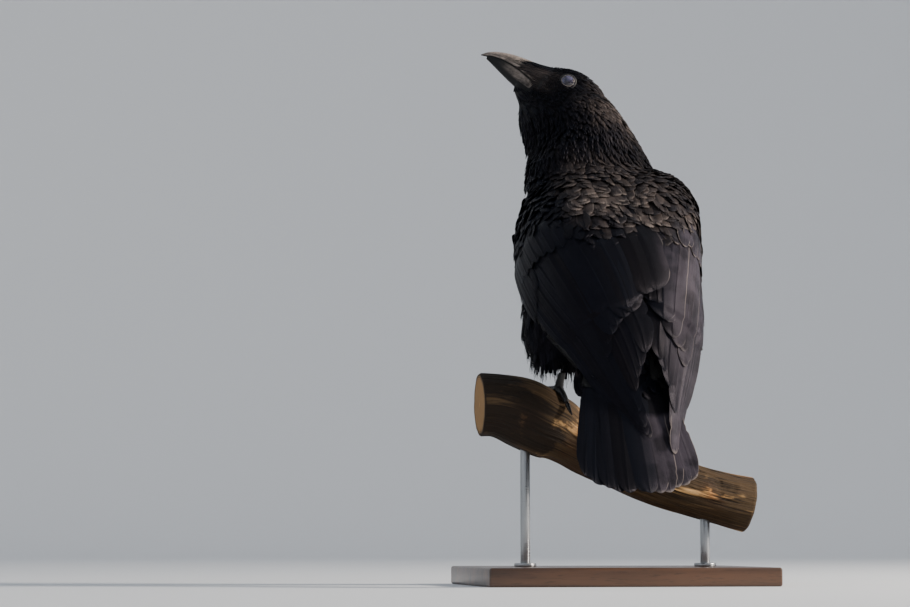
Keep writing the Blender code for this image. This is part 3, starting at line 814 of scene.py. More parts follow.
def drawn_in(points):
    """Lays the skin deep under the flight feathers, and draws it back from their tips."""
    shared = body()
    points = points.copy()
    sheets = [(wing, WING_FLESH) for wing in shared.wings.values()] + [(shared.tail, TAIL_FLESH)]
    far = np.array([[sheet.tree.find(p)[2] for p in points] for sheet, _ in sheets])
    for i, (sheet, limit) in enumerate(sheets):
        near = np.flatnonzero((far[i] == far.min(0)) & (far[i] < SHEET_REACH))
        t, v = sheet.shares(points[near])
        normal = sheet.normal(t, v)
        off = points[near] - sheet.at(t, v)
        height = (off * normal).sum(1)
        if sheet is not shared.tail:
            roof = np.maximum(sheet.half_depth(t, v) - COAT_DEPTH, LEAST_ROOF)
            open_part = (v > 0.02) & (v < 0.98) & (t > 0.3) & (height > roof)
            open_part &= abs(height) > 0.75 * np.linalg.norm(off, axis=1)
            lower = np.where(open_part, (roof - height) * smooth_step(t, 0.3, 0.42), 0.0)
            points[near] += normal * lower[:, None]
        own_part = np.isin(shared.nodes_at(points[near]), ("wing_left", "wing_right", "tail"))
        own_part &= (t > limit) & (far[i][near] < TIP_REACH)
        near, t, v = near[own_part], t[own_part], v[own_part]
        off = points[near] - sheet.at(t, v)
        off = off * (1 - TIP_THINNING * smooth_step(t, limit, limit + 0.12))[:, None]
        points[near] = sheet.at(limit + (t - limit) * TIP_LEFT, v) + off
    return points


def unwrap(obj):
    """Lays the object's own surface out flat on the bake map."""
    while obj.data.uv_layers:
        obj.data.uv_layers.remove(obj.data.uv_layers[0])
    obj.data.uv_layers.new(name=BAKE_MAP)
    bpy.ops.object.select_all(action="DESELECT")
    obj.select_set(True)
    bpy.context.view_layer.objects.active = obj
    bpy.ops.object.mode_set(mode="EDIT")
    bpy.ops.mesh.select_all(action="SELECT")
    bpy.ops.uv.smart_project(angle_limit=math.radians(66), island_margin=0.002)
    bpy.ops.object.mode_set(mode="OBJECT")
    obj.select_set(False)


# --- small feathers ---
# Each style of small feather: length, half width and spacing in millimetres, how far the tip
# stands above the coat, how much the vane bows across, and which shape it has.
STYLES = {
    "bristle": (24.0, 0.85, 1.1, 0.35, 0.0, "tuft"),
    "face": (6.0, 1.2, 1.25, 0.12, 0.15, "tuft"),
    "crown": (8.5, 1.9, 1.7, 0.12, 0.2, "tuft"),
    "throat": (16.0, 1.6, 2.6, 0.7, 0.2, "hackle"),
    "neck": (14.0, 2.3, 2.1, 0.05, 0.08, "hackle"),
    "mantle": (23.0, 6.5, 4.6, 0.5, 0.2, "scale"),
    "breast": (26.0, 6.6, 5.2, 0.4, 0.2, "scale"),
    "belly": (32.0, 6.5, 5.6, 0.8, 0.2, "plume"),
    "thigh": (25.0, 5.0, 4.2, 0.8, 0.2, "plume"),
    "covert": (20.0, 6.4, 4.9, 0.4, 0.18, "scale"),
    "rump": (27.0, 6.8, 5.0, 0.5, 0.2, "scale"),
}
LENGTH, HALF_WIDTH, SPACING, LIFT = range(4)

# The shapes, one unit long and one unit to each side: the vane's (place, half width) rows, the
# points across its top and how far the shaft stands up.
VANES = {
    "scale": (((0, 0.3), (0.22, 0.75), (0.5, 1), (0.74, 0.96), (0.88, 0.74), (0.96, 0.42)), 5, 0.5),
    "hackle": (((0, 0.4), (0.3, 0.95), (0.6, 0.8), (0.82, 0.45), (0.97, 0.08)), 3, 0.5),
    "tuft": (((0, 0.5), (0.35, 1), (0.72, 0.7), (1.0, 0.06)), 3, 0.5),
    "plume": (((0, 0.35), (0.3, 0.7), (0.6, 0.55), (0.85, 0.2)), 3, 0.4),
}
PLUME_REACHES = (0.8, 0.93, 0.88, 1.0, 0.94, 0.9, 0.78)
BARB_ROWS = ((0.0, 1), (0.4, 0.9), (0.75, 0.6), (1.0, 0.08))
TRIED_ROOTS = 170000
BARE_ROUND_EYE = 7.6
BRISTLE_REACH = 48  # how far forward the bristles' tips come over the bill, level with the eyes
BRISTLE_LEAST = 0.19  # share of a bristle's length that is left where there is hardly any room
SHANK_X = {"left": 43, "right": -26}  # where each shank leaves the feathers of its thigh
HANG, HANG_SHORTER = 0.65, 0.55  # how the feathers over a shank hang, as shares of their length
SUNK = 0.35  # how deep a feather's middle lies in the coat


def closed_strip(rows, tops, thick):
    """A closed leaf along Y: rows of (place, half width, offset), `tops` points across the top."""
    points = []
    for s, half, offset in rows:
        for u in np.linspace(-1, 1, tops):
            points.append((offset + half * u, s, thick * (1 - abs(u)) if tops > 2 else 0.0))
        points.append((offset, s, -thick))
    return points, ring_faces(len(rows), tops + 1)


def barb(root, tip, start, end, width, bend):
    """One loose barb: from (start, root) to (end, tip), both as (along, across)."""
    rows = [
        (start + (end - start) * share, width * narrowed,
         root + (tip - root) * share + bend * share * (1 - share))
        for share, narrowed in BARB_ROWS
    ]
    return closed_strip(rows, 2, 0.5)


def feather_shape(kind):
    """A vane of one of the four shapes, with loose barbs at its edge."""
    outline, tops, thick = VANES[kind]
    pieces = [closed_strip([(s, w, 0) for s, w in outline], tops, thick)]
    if kind == "scale":
        for u in np.linspace(-0.75, 0.75, 7):
            start = 0.93 - 0.17 * abs(u)
            pieces.append(barb(u * 0.78, u * 1.02, start - 0.12, start + 0.09, 0.11, 0.0))
    elif kind == "hackle":
        for u in (-0.8, -0.45, 0.4, 0.75):
            pieces.append(barb(u * 0.7, u * 1.1, 0.45, 0.86 - 0.1 * abs(u), 0.13, 0.1 * u))
    elif kind == "plume":
        for u, reach in zip(np.linspace(-1, 1, 7), PLUME_REACHES):
            pieces.append(barb(u * 0.35, u * 0.95, 0.3, reach, 0.1, -0.25 * u))
    return pieces


def shape_object(kind):
    """A hidden master feather, whose `vane` attribute holds its own coordinates."""
    points, faces = [], []
    for part_points, part_faces in feather_shape(kind):
        faces += [tuple(i + len(points) for i in face) for face in part_faces]
        points += part_points
    data = mesh_from("master_" + kind, points, faces)
    set_attribute(data, "vane", points, vector=True)
    data.shade_smooth()
    data.set_sharp_from_angle(angle=math.radians(50))
    master = new_object("master_" + kind, data)
    master.hide_render = True
    return master


FEATHER_INPUTS = {
    "Roots": "Geometry",
    "Feather": "Object",
    "Thickness": "Float",
    "Bow": "Float",
    "Patch": "Float",
    "Finish": "Material",
}


def feather_tree():
    """Geometry Nodes: one master feather on each root, bent along the body by its guide points."""
    tree = bpy.data.node_groups.new("lay_feathers", "GeometryNodeTree")
    for name, kind in FEATHER_INPUTS.items():
        tree.interface.new_socket(name, in_out="INPUT", socket_type="NodeSocket" + kind)
    tree.interface.new_socket("Coat", in_out="OUTPUT", socket_type="NodeSocketGeometry")
    nodes = Nodes(tree)
    start = nodes.add("NodeGroupInput").outputs

    def step(kind, geometry, inputs=None, **settings):
        """One step that the feathers pass through."""
        inputs = {0: geometry, **(inputs or {})}
        return nodes.add("GeometryNode" + kind, inputs, **settings).outputs[0]

    def named(name):
        kind = "GeometryNodeInputNamedAttribute"
        return nodes.add(kind, {"Name": name}, data_type="FLOAT_VECTOR").outputs[0]

    def blend(share, low, high):
        inputs = {0: share, 4: low, 5: high}
        return nodes.add("ShaderNodeMix", inputs, data_type="VECTOR").outputs[1]

    def vector(operation, *values, **scale):
        inputs = {**dict(enumerate(values)), **scale}
        return nodes.add("ShaderNodeVectorMath", inputs, operation=operation).outputs[0]

    master = nodes.add("GeometryNodeObjectInfo", {"Object": start["Feather"]})
    placed = step("InstanceOnPoints", start["Roots"], {"Instance": master.outputs["Geometry"]})
    real = step("RealizeInstances", placed)
    across, along, rise = nodes.parts(named("vane"))
    root, middle, tip = named("root"), named("middle"), named("tip")
    half = nodes.times(nodes.parts(named("size"))["X"], MM)
    line = blend(along, blend(along, root, middle), blend(along, middle, tip))
    way = blend(along, vector("SUBTRACT", middle, root), vector("SUBTRACT", tip, middle))
    up = blend(along, named("up_root"), named("up_tip"))
    side = vector("NORMALIZE", vector("CROSS_PRODUCT", way, up))
    up = vector("NORMALIZE", vector("CROSS_PRODUCT", side, way))
    out = vector("SCALE", side, Scale=nodes.times(across, half))
    bow = nodes.times(nodes.times(nodes.times(across, across), half), start["Bow"])
    height = nodes.times(rise, start["Thickness"])
    lift = vector("SCALE", up, Scale=nodes.maths("SUBTRACT", height, bow))
    spot = vector("ADD", vector("ADD", line, out), lift)
    moved = step("SetPosition", real, {"Position": spot})
    patch = nodes.joined(
        nodes.times(across, nodes.times(start["Patch"], 0.5)), nodes.times(along, start["Patch"])
    )
    mapped = step(
        "StoreNamedAttribute", moved,
        {"Name": BAKE_MAP, "Value": vector("ADD", named("place"), patch)},
        data_type="FLOAT2", domain="CORNER",
    )
    nodes.add("NodeGroupOutput", {0: step("SetMaterial", mapped, {"Material": start["Finish"]})})
    return tree


def set_inputs(modifier, **values):
    """Sets a Geometry Nodes modifier's inputs through their sockets' identifiers."""
    for item in modifier.node_group.interface.items_tree:
        if item.in_out == "INPUT" and item.name in values:
            modifier[item.identifier] = values[item.name]


def style_of(points, normals, nodes):
    """The style of the feather that grows at each point; an empty name where none does."""
    shared = body()
    x, y, z = to_head(points).T
    height = from_row(points)[:, 2]
    on = {name: nodes == name for name in FLESH}
    ragged = 5 * np.sin(points @ (9000.0, 7000.0, 8000.0)) + 2 * np.sin(z * 0.9)
    bristly = x > 25 + ragged
    over_nostril = bristly & (abs(y) < 12) & (z > -4)
    beside_nostril = bristly & (x < GAPE + 1) & (z > -15) & (abs(y) < 17) & ~over_nostril
    above = normals @ unit((0, 0.64, 0.77)) > 0.1
    rules = [
        ("head", "crown", True),
        ("head", "face", (x > 2) & (z > -26)),
        ("head", "throat", (z < -24) & (x > -14)),
        ("head", "bristle", over_nostril & (x < 40)),
        ("head", "", over_nostril & (x >= 40)),
        ("head", "", (x > GAPE) & (z > -21) & (z < -2.5)),
        ("head", "bristle", beside_nostril),
        ("neck", "neck", True),
        ("neck", "throat", (x > -8) & (height > 190)),
        ("trunk", "breast", True),
        ("trunk", "mantle", above & (height > 60)),
        ("trunk", "belly", ~above & (height < 85)),
        ("trunk", "rump", above & (height < 60)),
    ]
    rules += [("thigh_" + side, "thigh", height > ANKLES[side][2] - 12) for side in SIDES]
    styles = np.full(len(points), "", dtype="U12")
    for node, style, where in rules:
        styles[on[node] & where] = style
    for side in SIDES:
        here = np.flatnonzero(on["wing_" + side])
        wing = shared.wings[side]
        t, v = wing.shares(points[here])
        facing = (normals[here] * wing.read(wing.normals, t, v)).sum(1)
        kept = (facing > 0.15) & (t < wing_cover(v))
        styles[here] = np.where(kept, np.where(v < 0.4, "mantle", "covert"), "")
        rolled = (facing > -0.6) & (facing <= 0.35) & ((v > 0.8) | (t < 0.06)) & (t < WING_COVER)
        styles[here[rolled]] = "crown"
    here = np.flatnonzero(on["tail"])
    styles[here] = np.where(shared.tail.shares(points[here])[0] < TAIL_COVER, "rump", "")
    eyes = [np.array(box_centre("eye_" + side)) for side in SIDES]
    far = np.min([np.linalg.norm(points - eye, axis=1) for eye in eyes], axis=0)
    styles[far < BARE_ROUND_EYE * MM] = ""
    return styles


def from_styles(styles, column):
    return np.array([STYLES[style][column] for style in styles])


def feather_sizes(points, styles):
    """Lengths and half widths in metres, small on the face, and each one's share of spacing."""
    ahead, _, above = to_head(points).T
    x, _, z = from_row(points).T
    growth = 0.62 + 0.75 * smooth_step(40 - ahead, 0, 70)
    scale = np.where(np.isin(styles, ("face", "crown")), growth, 1.0)
    shoulder = 0.6 + 0.4 * smooth_step(208 - z, 0, 40)
    scale = np.where(np.isin(styles, ("mantle", "breast")), shoulder, scale)
    bend = smooth_step(abs(x), 38, 55) * smooth_step(z, 150, 178)
    scale = np.where(np.isin(styles, ("mantle", "covert")), scale * (1 - 0.42 * bend), scale)
    bristle = styles == "bristle"
    reach = BRISTLE_REACH + 0.8 * above + 9 * smooth_step(above, -4, 2)
    room = np.clip((reach - ahead) / STYLES["bristle"][LENGTH], BRISTLE_LEAST, 1.0)
    sizes = np.where(bristle, room, scale) * MM
    return (
        from_styles(styles, LENGTH) * sizes,
        from_styles(styles, HALF_WIDTH) * sizes,
        np.where(bristle, 1.0, scale),
    )


def lay_out_feathers(scale, seed):
    """Roots, guide points and sizes of all small feathers, by style."""
    shared = body()
    envelope = shared.envelope
    rng = np.random.default_rng(seed)
    points, normals = envelope.scatter(TRIED_ROOTS, rng)
    rough = (3.2 - 2.1 * smooth_step(from_row(points)[:, 2], 222, 238)) * MM
    kept = thinned(points, rough, rng)
    points, normals = points[kept], normals[kept]
    styles = style_of(points, normals, shared.nodes_at(points))
    kept = styles != ""
    points, normals, styles = points[kept], normals[kept], styles[kept]
    length, half, growth = feather_sizes(points, styles)
    kept = thinned(points, from_styles(styles, SPACING) * growth * scale * MM, rng)
    points, normals, styles = points[kept], normals[kept], styles[kept]
    count = len(points)
    length = length[kept] * scale * rng.normal(1, 0.13, count).clip(0.7, 1.35)
    half = half[kept] * scale * rng.normal(1, 0.1, count).clip(0.75, 1.3)
    way = feather_directions(points, normals, styles)
    way = unit(way + np.cross(normals, way) * rng.normal(0, 0.14, count)[:, None])
    middle, up_middle = envelope.nearest(points + way * length[:, None] * 0.5)
    onwards = feather_directions(middle, up_middle, styles)
    way = unit(on_surface(way, up_middle) + on_surface(onwards, up_middle))
    tip, up_tip = envelope.nearest(middle + way * length[:, None] * 0.5)
    x, _, z = from_row(points).T
    lowest, shank = (
        np.where(x > 0, left, right)
        for left, right in ((ANKLES["left"][2], ANKLES["right"][2]), SHANK_X.values())
    )
    free = (styles == "thigh") * smooth_step(lowest + 8 - z, 0, 12)
    clear = smooth_step(abs(x - shank), 3, 9)
    length = length * (1 - free * (1 - clear) * HANG_SHORTER)
    hanging = middle + unit((0.0, 0.12, -1.0)) * length[:, None] * HANG
    tip = tip + (hanging - tip) * free[:, None]
    shut_in = np.isin(styles, ("breast", "belly", "thigh", "rump"))
    under = np.isin(shared.nodes_at(tip), ("wing_left", "wing_right")) & shut_in
    under |= ((normals * up_tip).sum(1) < 0.3) & np.isin(styles, ("mantle", "covert", "breast"))
    faces = envelope.faces_at(points)
    depth = shared.depth[envelope.triangles[faces]].mean(1)[:, None]
    lift = from_styles(styles, LIFT) * rng.uniform(0.2, 1.3, count) * MM
    root = points - normals * depth
    end = tip + up_tip * lift[:, None]
    roll = rng.normal(0, 0.2, count)[:, None] * np.where(styles == "neck", 0.4, 1.0)[:, None]
    layout = {
        "styles": styles,
        "root": root,
        "middle": 2 * (middle - up_middle * depth * SUNK) - (root + end) / 2,
        "tip": end,
        "up_root": unit(normals + np.cross(normals, way) * roll),
        "up_tip": unit(up_tip + np.cross(up_tip, way) * roll),
        "size": np.stack([half / MM, length / MM, np.zeros(count)], 1),
        "place": np.pad(shared.skin_map[faces], ((0, 0), (0, 1))),
        # Brown mask, partly real browning and partly painted light, varied at random for each
        # feather.
        "wear_and_light": wear_and_light(points) * rng.uniform(0.25, 1.0, count),
        "tone": rng.random(count),
    }
    return {name: values[~under] for name, values in layout.items()}


def feather_directions(points, normals, styles):
    """Along the body, but down the thighs and along the wings."""
    way = body().flow.at(points, normals)
    for style, ahead in (("bristle", HEAD_FORWARD - 0.03 * HEAD_UP), ("thigh", (0.0, 0.15, -1.0))):
        here = styles == style
        way[here] = on_surface(np.tile(ahead, (here.sum(), 1)), normals[here])
    for side, sign in SIDES.items():
        here = np.flatnonzero((styles == "covert") & (points[:, 0] * sign > 0))
        wing = body().wings[side]
        if len(here):
            way[here] = on_surface(wing.along(*wing.shares(points[here])), normals[here])
    return way


GUIDES = ("root", "middle", "tip", "up_root", "up_tip", "place")


def make_coats(plumage):
    """One mesh for each style of small feather."""
    layout = lay_out_feathers(plumage.feather_scale, plumage.seed)
    # The small feathers' old colour is partly real browning, partly painted light; their edges
    # carry a painted highlight.
    finish = feather_finish(
        "small_feather_keratin", plumage, plumage.worn_and_lit_brown, 0.46, 0.12, 0.9, plumage.edge_highlight,
        0.72,
    )
    masters = {kind: shape_object(kind) for kind in VANES}
    tree = feather_tree()
    for style, (*_, bow, kind) in STYLES.items():
        chosen = layout["styles"] == style
        if not chosen.any():
            continue
        data = bpy.data.meshes.new("roots_" + style)
        data.vertices.add(int(chosen.sum()))
        write(data.vertices, "co", layout["root"][chosen])
        for name in (*GUIDES, "size", "wear_and_light", "tone"):
            set_attribute(data, name, layout[name][chosen], vector=name not in ("wear_and_light", "tone"))
        coat = new_object("coat_" + style, data)
        set_inputs(
            modify(coat, "NODES", node_group=tree),
            Feather=masters[kind], Thickness=plumage.vane_thickness, Bow=bow, Patch=BAKE_PATCH,
            Finish=finish,
        )
        attributes = finished(coat).data.attributes
        for name in GUIDES:
            attributes.remove(attributes[name])
        place(coat, "feathers")
    for master in masters.values():
        bpy.data.objects.remove(master, do_unlink=True)


# --- flight feathers ---
# Section of a flight feather: place across (share of the half width) and height in millimetres.
QUILL_SECTION = (
    (-1.0, 0.0), (-0.72, 0.16), (-0.36, 0.2), (-0.09, 0.12), (-0.035, 0.5), (0.035, 0.5),
    (0.09, 0.12), (0.36, 0.2), (0.72, 0.16), (1.0, 0.0), (0.4, -0.18), (0.0, -0.45), (-0.4, -0.18),
)
SHAFT = 4  # the section's point beside the shaft
QUILL_RINGS = 40
STACK = 0.7 * MM  # how far the topmost feather stands over the solid
ROOT_DIP = 4.5 * MM  # how far a flight feather's root is sunk under the small feathers

# The wing's large feathers, lowest first: where each ends along the wing, innermost first, and
# where its root lies. Then the first one's value and the change to the last one for: the root's
# and the tip's place across the wing, both half widths and the rounding of the tip. The number
# of splits comes last.
PRIMARY_TIPS = (0.79, 0.81, 0.83, 0.86, 0.9, 0.95, 1.0, 0.99, 0.93, 0.84)
SECONDARY_TIPS = (0.765, 0.75, 0.735, 0.72, 0.705, 0.69)
TERTIAL_TIPS = (0.685, 0.675, 0.665, 0.655)
WING_GROUPS = (
    (PRIMARY_TIPS, 0.3, (0.62, 0.32), (0.16, 0.74), (11, -3), (8.5, -4), (0.78, 0.06), 3),
    (SECONDARY_TIPS, 0.24, (0.66, -0.3), (0.6, -0.38), (12, 0), (10, 0), (0.86, 0), 2),
    (TERTIAL_TIPS, 0.16, (0.36, -0.27), (0.25, -0.22), (16, 0), (15, 0), (0.84, 0), 1),
)
# The coverts over them: how many, and where the roots lie. Then the first value and the change
# for: the root across, the tip along and across, and the height at the root and at the tip. Both
# half widths and the rounding of the tip come last.
COVERT_GROUPS = (
    (6, 0.28, (0.97, -0.12), (0.58, -0.06), (0.985, -0.16), (0.5, 0.1), (0.2, 0.1), (5, 3.5), 0.7),
    (11, 0.22, (0.95, -0.66), (0.47, 0.03), (0.92, -0.68), (0.85, 0.15), (0.5, 0.45), (7.5, 6.5),
     0.82),
)
TAIL_SIDES = (0.06, 0.23, 0.41, 0.58, 0.74, 0.88)


class Quills:
    """Flight feathers on one surface, gathered into a single mesh."""

    def __init__(self, surface, seed, flesh, cover):
        self.surface, self.flesh, self.cover = surface, flesh, cover
        self.rng = np.random.default_rng(seed)
        self.points, self.vane, self.size, self.spot, self.tone = [], [], [], [], []

    def lay(self, start, end, widths, height, rounding, notches, settled=None):
        """One feather from `start` to `end`, each a (t, v); half widths in millimetres.

        It lies `height` up the stack at its root and `settled` up the stack at its tip.
        """
        surface, rng = self.surface, self.rng
        s = (1 - (1 - np.linspace(0, 1, QUILL_RINGS)) ** 1.5)[:, None]
        reach = min(end[0] * rng.normal(1, 0.008), 1.0)
        t = start[0] + (reach - start[0]) * s
        v = start[1] + (end[1] + rng.normal(0, 0.008) - start[1]) * smooth_step(s, -0.1, 1.05)
        u, lift = np.array(QUILL_SECTION).T[:, None]
        tip = np.clip((s - rounding) / (1 - rounding), 0, 1)
        width = np.minimum(1, 0.3 + s / 0.16) * np.maximum((1 - tip**2.2) ** 0.55, 0.05)
        left, right = (half * width * self.nicks(s, notches) for half in widths)
        x = np.where(u < 0, left, right) * u * MM
        span = np.interp(t, np.linspace(0, 1, len(surface.widths)), surface.widths)
        inside = np.clip(v + x / span, 0.0, 1.0)
        over = x - (inside - v) * span
        t = np.broadcast_to(t, inside.shape)
        middle = surface.at(t, inside)
        deep = surface.half_depth(t, inside)
        under = np.where(t < self.flesh, np.maximum(deep - COAT_DEPTH, 0.3 * MM), -deep) + 0.4 * MM
        settled = height if settled is None else settled
        height = height + (settled - height) * smooth_step(s, 0.35, 1.0)
        above = under + (deep + STACK - under) * height
        above = above - ROOT_DIP * (1 - smooth_step(t - self.cover(v), -0.03, 0.05))
        above = above + lift * MM * (1 - 0.6 * s) + 0.4 * MM * s * s * rng.uniform(-0.4, 1.0)
        bow = (0.006 * (x / MM) ** 2 + rng.normal(0, 0.03) * x / MM) * MM
        above = above - bow - 0.3 * abs(over)
        across, normal = surface.across(t, inside), surface.normal(t, inside)
        points = middle + across * over[..., None] + normal * above[..., None]
        length = np.linalg.norm(np.diff(middle[:, SHAFT], axis=0), axis=1).sum() / MM
        self.points.append(points)
        self.vane.append(np.stack(np.broadcast_arrays(u, s, lift), -1))
        self.size.append(np.broadcast_to((sum(widths) / 2, length, 0.0), points.shape))
        self.tone.append(rng.random())
        self.spot.append(points[0].mean(0))

    def nicks(self, s, count):
        """Small splits in a vane's edge."""
        rng = self.rng
        edge = np.ones_like(s)
        for place, depth in zip(rng.uniform(0.3, 0.97, count), rng.uniform(0.05, 0.2, count)):
            edge = edge * (1 - depth * bell(s - place, 0.014))
        return edge * (1 + 0.015 * np.sin(s * 60 + rng.uniform(0, 6)))

    def gather(self, name):
        count, rings, ring = np.shape(self.points)[:3]
        each = rings * ring
        points, vane = (np.reshape(rows, (-1, 3)) for rows in (self.points, self.vane))
        one = ring_faces(rings, ring)
        faces = [tuple(i + n * each for i in face) for n in range(count) for face in one]
        data = outward_mesh(name, points, faces, sharp=50)
        set_attribute(data, "vane", vane, vector=True)
        set_attribute(data, "size", self.size, vector=True)
        set_attribute(data, "tone", np.repeat(self.tone, each))
        # Painted light on the flight feathers' lit right side, held in the brown mask.
        set_attribute(data, "wear_and_light", quill_painted_light(points))
        # each feather's patch on the bake map lies at its root's place on the skin
        shared = body()
        spots = shared.skin_map[shared.envelope.faces_at(self.spot)]
        spots = np.repeat(spots, each, axis=0) + vane[:, :2] * (BAKE_PATCH / 2, BAKE_PATCH)
        corners = read(data.loops, "vertex_index", 1, np.int32)
        data.uv_layers.new(name=BAKE_MAP)
        write(data.uv_layers[BAKE_MAP].data, "uv", spots[corners])
        place(new_object(name, data, SHARED["quill_finish"]), "feathers")


def lay_wing(side, seed):
    """Primaries, secondaries, tertials and the greater coverts over them, lowest first."""
    quills = Quills(body().wings[side], seed, WING_FLESH + 0.07, wing_cover)
    total = sum(len(group[0]) for group in WING_GROUPS)
    rank = 0
    for tips, root, *ranges, notches in WING_GROUPS:
        order = list(enumerate(tips))
        for i, tip in reversed(order) if tips is PRIMARY_TIPS else order:
            share = i / (len(tips) - 1)
            start, end, left, right, rounding = (first + change * share for first, change in ranges)
            height = 0.9 * rank / total
            quills.lay((root, start), (tip, end), (left, right), height, rounding, notches)
            rank += 1
    for count, root, *ranges, widths, rounding in COVERT_GROUPS:
        for i in range(count):
            share = i / (count - 1)
            start, along, end, height, low = (first + change * share for first, change in ranges)
            quills.lay((root, start), (along, end), widths, height, rounding, 1, low)
    quills.gather("quills_" + side)


def make_wings(plumage):
    # The slate is a painted light colour for the lit right wing and tail.
    SHARED["quill_finish"] = feather_finish(
        "flight_feather_keratin", plumage, plumage.lit_slate, 0.34, 0.11, 1.1,
        1.5 * plumage.edge_highlight, 0.9,
    )
    for number, side in enumerate(SIDES):
        lay_wing(side, plumage.seed + number)


def make_tail(plumage):
    """Twelve tail feathers, the outermost lowest and the middle pair on top."""
    quills = Quills(body().tail, plumage.seed + 7, 0.0, tail_cover)
    for k, side in reversed(list(enumerate(TAIL_SIDES))):
        for sign in (-1, 1):
            rank = 1 - k / (len(TAIL_SIDES) - 1) + 0.04 * sign
            widths = (15.0, 12.5 - 1.1 * k)[::sign]
            ends = (0.0, 0.5 + sign * side * 0.36), (1.0, 0.5 + sign * side * 0.5)
            quills.lay(*ends, widths, rank, 0.86, 3)
    quills.gather("quills_tail")


# --- bill, eyes and lids ---
BILL_RINGS, BILL_ARCH = 90, 33
# Each half of the bill: which way it bulges, how full its sides are, its share of the width.
BILL_HALVES = {"upper": (1, 0.85, 1.0), "lower": (-1, 0.7, 0.94)}
BILL_LIP = (0.8, 0.35, -0.35, -0.8)
LIP_ROLL = 0.55
EDGE_GAP = 0.15  # how far each half of the bill stays off the cutting edge
BILL_ROOT = 5  # how far the bill goes on into the head
HOOK_SHARES = (0.3, 0.55, 0.75, 0.9, 1.0)
MOUTH_RINGS = 24
MOUTH_HALF = (0.8, 1.2)  # share of the bill's half width, and half height in millimetres
EYE_RADIUS = 7.2
# Each fold of the lids: half sizes, thickness and how far it stands out.
LID_RINGS = {"rim": (5.4, 4.85, 0.3, 0.3), "fold": (6.5, 5.95, 1.0, -0.35)}


def bill_rings(part):
    """Sections of one half of the bill in the head's frame, with the cutting edge rolled in."""
    sign, fullness, share_of_width = BILL_HALVES[part]
    rows = smooth_table(BILL_STATIONS, BILL_RINGS)
    rows = np.vstack([rows[0] - (BILL_ROOT, 0, 0, 0, 0), rows])
    if part == "upper":
        tip_x, tip_z = BILL_TIP
        for share in HOOK_SHARES:
            end = (tip_x, tip_z + 0.9 * (1 - share) + 0.5, tip_z - 0.2, tip_z, 0.5)
            rows = np.vstack([rows, rows[BILL_RINGS] * (1 - share) + np.array(end) * share])
    else:
        rows = rows[:-4]
    rings = []
    for x, top, edge, bottom, half in rows:
        far, half = (top if sign > 0 else bottom), half * share_of_width
        ring = []
        for angle in np.linspace(0, math.pi, BILL_ARCH):
            side, rise = math.cos(angle), math.sin(angle)
            keel = 0.07 * half * max(0.0, rise - 0.94) / 0.06
            across = half * math.copysign(abs(side) ** fullness, side)
            ring.append((x, across, edge + EDGE_GAP * sign + (far - edge) * rise + keel * sign))
        ring += [(x, -half * share, edge + sign * LIP_ROLL) for share in BILL_LIP]
        rings.append(ring)
    return from_head(rings)


def horn_finish(plumage):
    """Worn black horn: fine growth lines along the bill, and grey dust that dulls it; the pale
    beige-grey along the ridge and sides is a painted highlight, broken up by the dust.
    """
    finish = Finish("bill_horn")
    turned = finish.add("ShaderNodeVectorRotate", {
        "Vector": finish.coords,
        "Axis": tuple(unit(np.cross(HEAD_FORWARD, (1, 0, 0)))),
        "Angle": math.acos(float(HEAD_FORWARD[0])),
    }).outputs[0]
    lines = finish.noise(900.0, 5.0, at=finish.stretched((0.12, 1.0, 1.0), turned))
    dust_and_highlight = finish.noise(160.0, 5.0)
    # Share of the painted highlight set on the bill, broken up by the dust noise below.
    worn_and_lit = finish.ranged(finish.own("dust_and_highlight"), 0.0, 0.75)
    dusty_and_lit = finish.times(finish.ranged(dust_and_highlight, 0.15, 0.7), worn_and_lit)
    base = finish.mixed(dusty_and_lit, plumage.horn_dark, plumage.horn_highlight)
    gloss = finish.line(dust_and_highlight, 0.22, 0.3)
    return finish.done(
        finish.mixed(finish.ranged(lines, 0.4, 0.7, 0.0, 0.5), base, plumage.horn_dark),
        finish.line(lines, 0.12, gloss),
        (finish.maths("ADD", lines, dust_and_highlight), 0.0002, 0.5),
        IOR=1.6,
        Specular_IOR_Level=0.22,
    )


def make_bill(plumage):
    """Both halves of the bill and the dark lining between them."""
    finish = horn_finish(plumage)
    arch = np.sin(np.linspace(0, math.pi, BILL_ARCH))
    for part in BILL_HALVES:
        rings = bill_rings(part)
        data = tube_mesh("horn_" + part, rings, sharp=60)
        # The share set below is a painted highlight: pale along the ridge and sides of the upper
        # half with a band near the cutting edge, a faint band on the rear of the lower half, the
        # cutting edge kept dark.
        fade = np.ones(len(rings))
        if part == "upper":
            dust_and_highlight = 0.38 * smooth_step(arch, 0.0, 0.05) + 0.62 * smooth_step(arch, 0.42, 0.85)
            dust_and_highlight = dust_and_highlight + 0.45 * bell(arch - 0.13, 0.07)
        else:
            dust_and_highlight = smooth_step(arch, 0.0, 0.12) * (1 - smooth_step(arch, 0.45, 0.8))
            along = np.arange(len(rings)) / BILL_RINGS
            fade = 0.5 * (1 - smooth_step(along, 0.35, 0.8))
        dust_and_highlight = np.append(dust_and_highlight, np.zeros(len(BILL_LIP)))
        set_attribute(data, "dust_and_highlight", dust_and_highlight * fade[:, None])
        place(new_object("horn_" + part, data, finish), "bill_horn", "bill_" + part)
    reach, depth = MOUTH_HALF
    rings = [
        [(x, half * reach * math.cos(a), edge + depth * math.sin(a)) for a in circle(16)]
        for x, _, edge, _, half in smooth_table(BILL_STATIONS, MOUTH_RINGS)[:-3]
    ]
    inner = tube_mesh("mouth_lining", from_head(rings))
    place(new_object("mouth_lining", inner, mouth_finish(plumage)), "bill_horn")


def mouth_finish(plumage):
    """Dark dry lining of the mouth."""
    return Finish("mouth_lining").done(plumage.deep_black, 0.7)


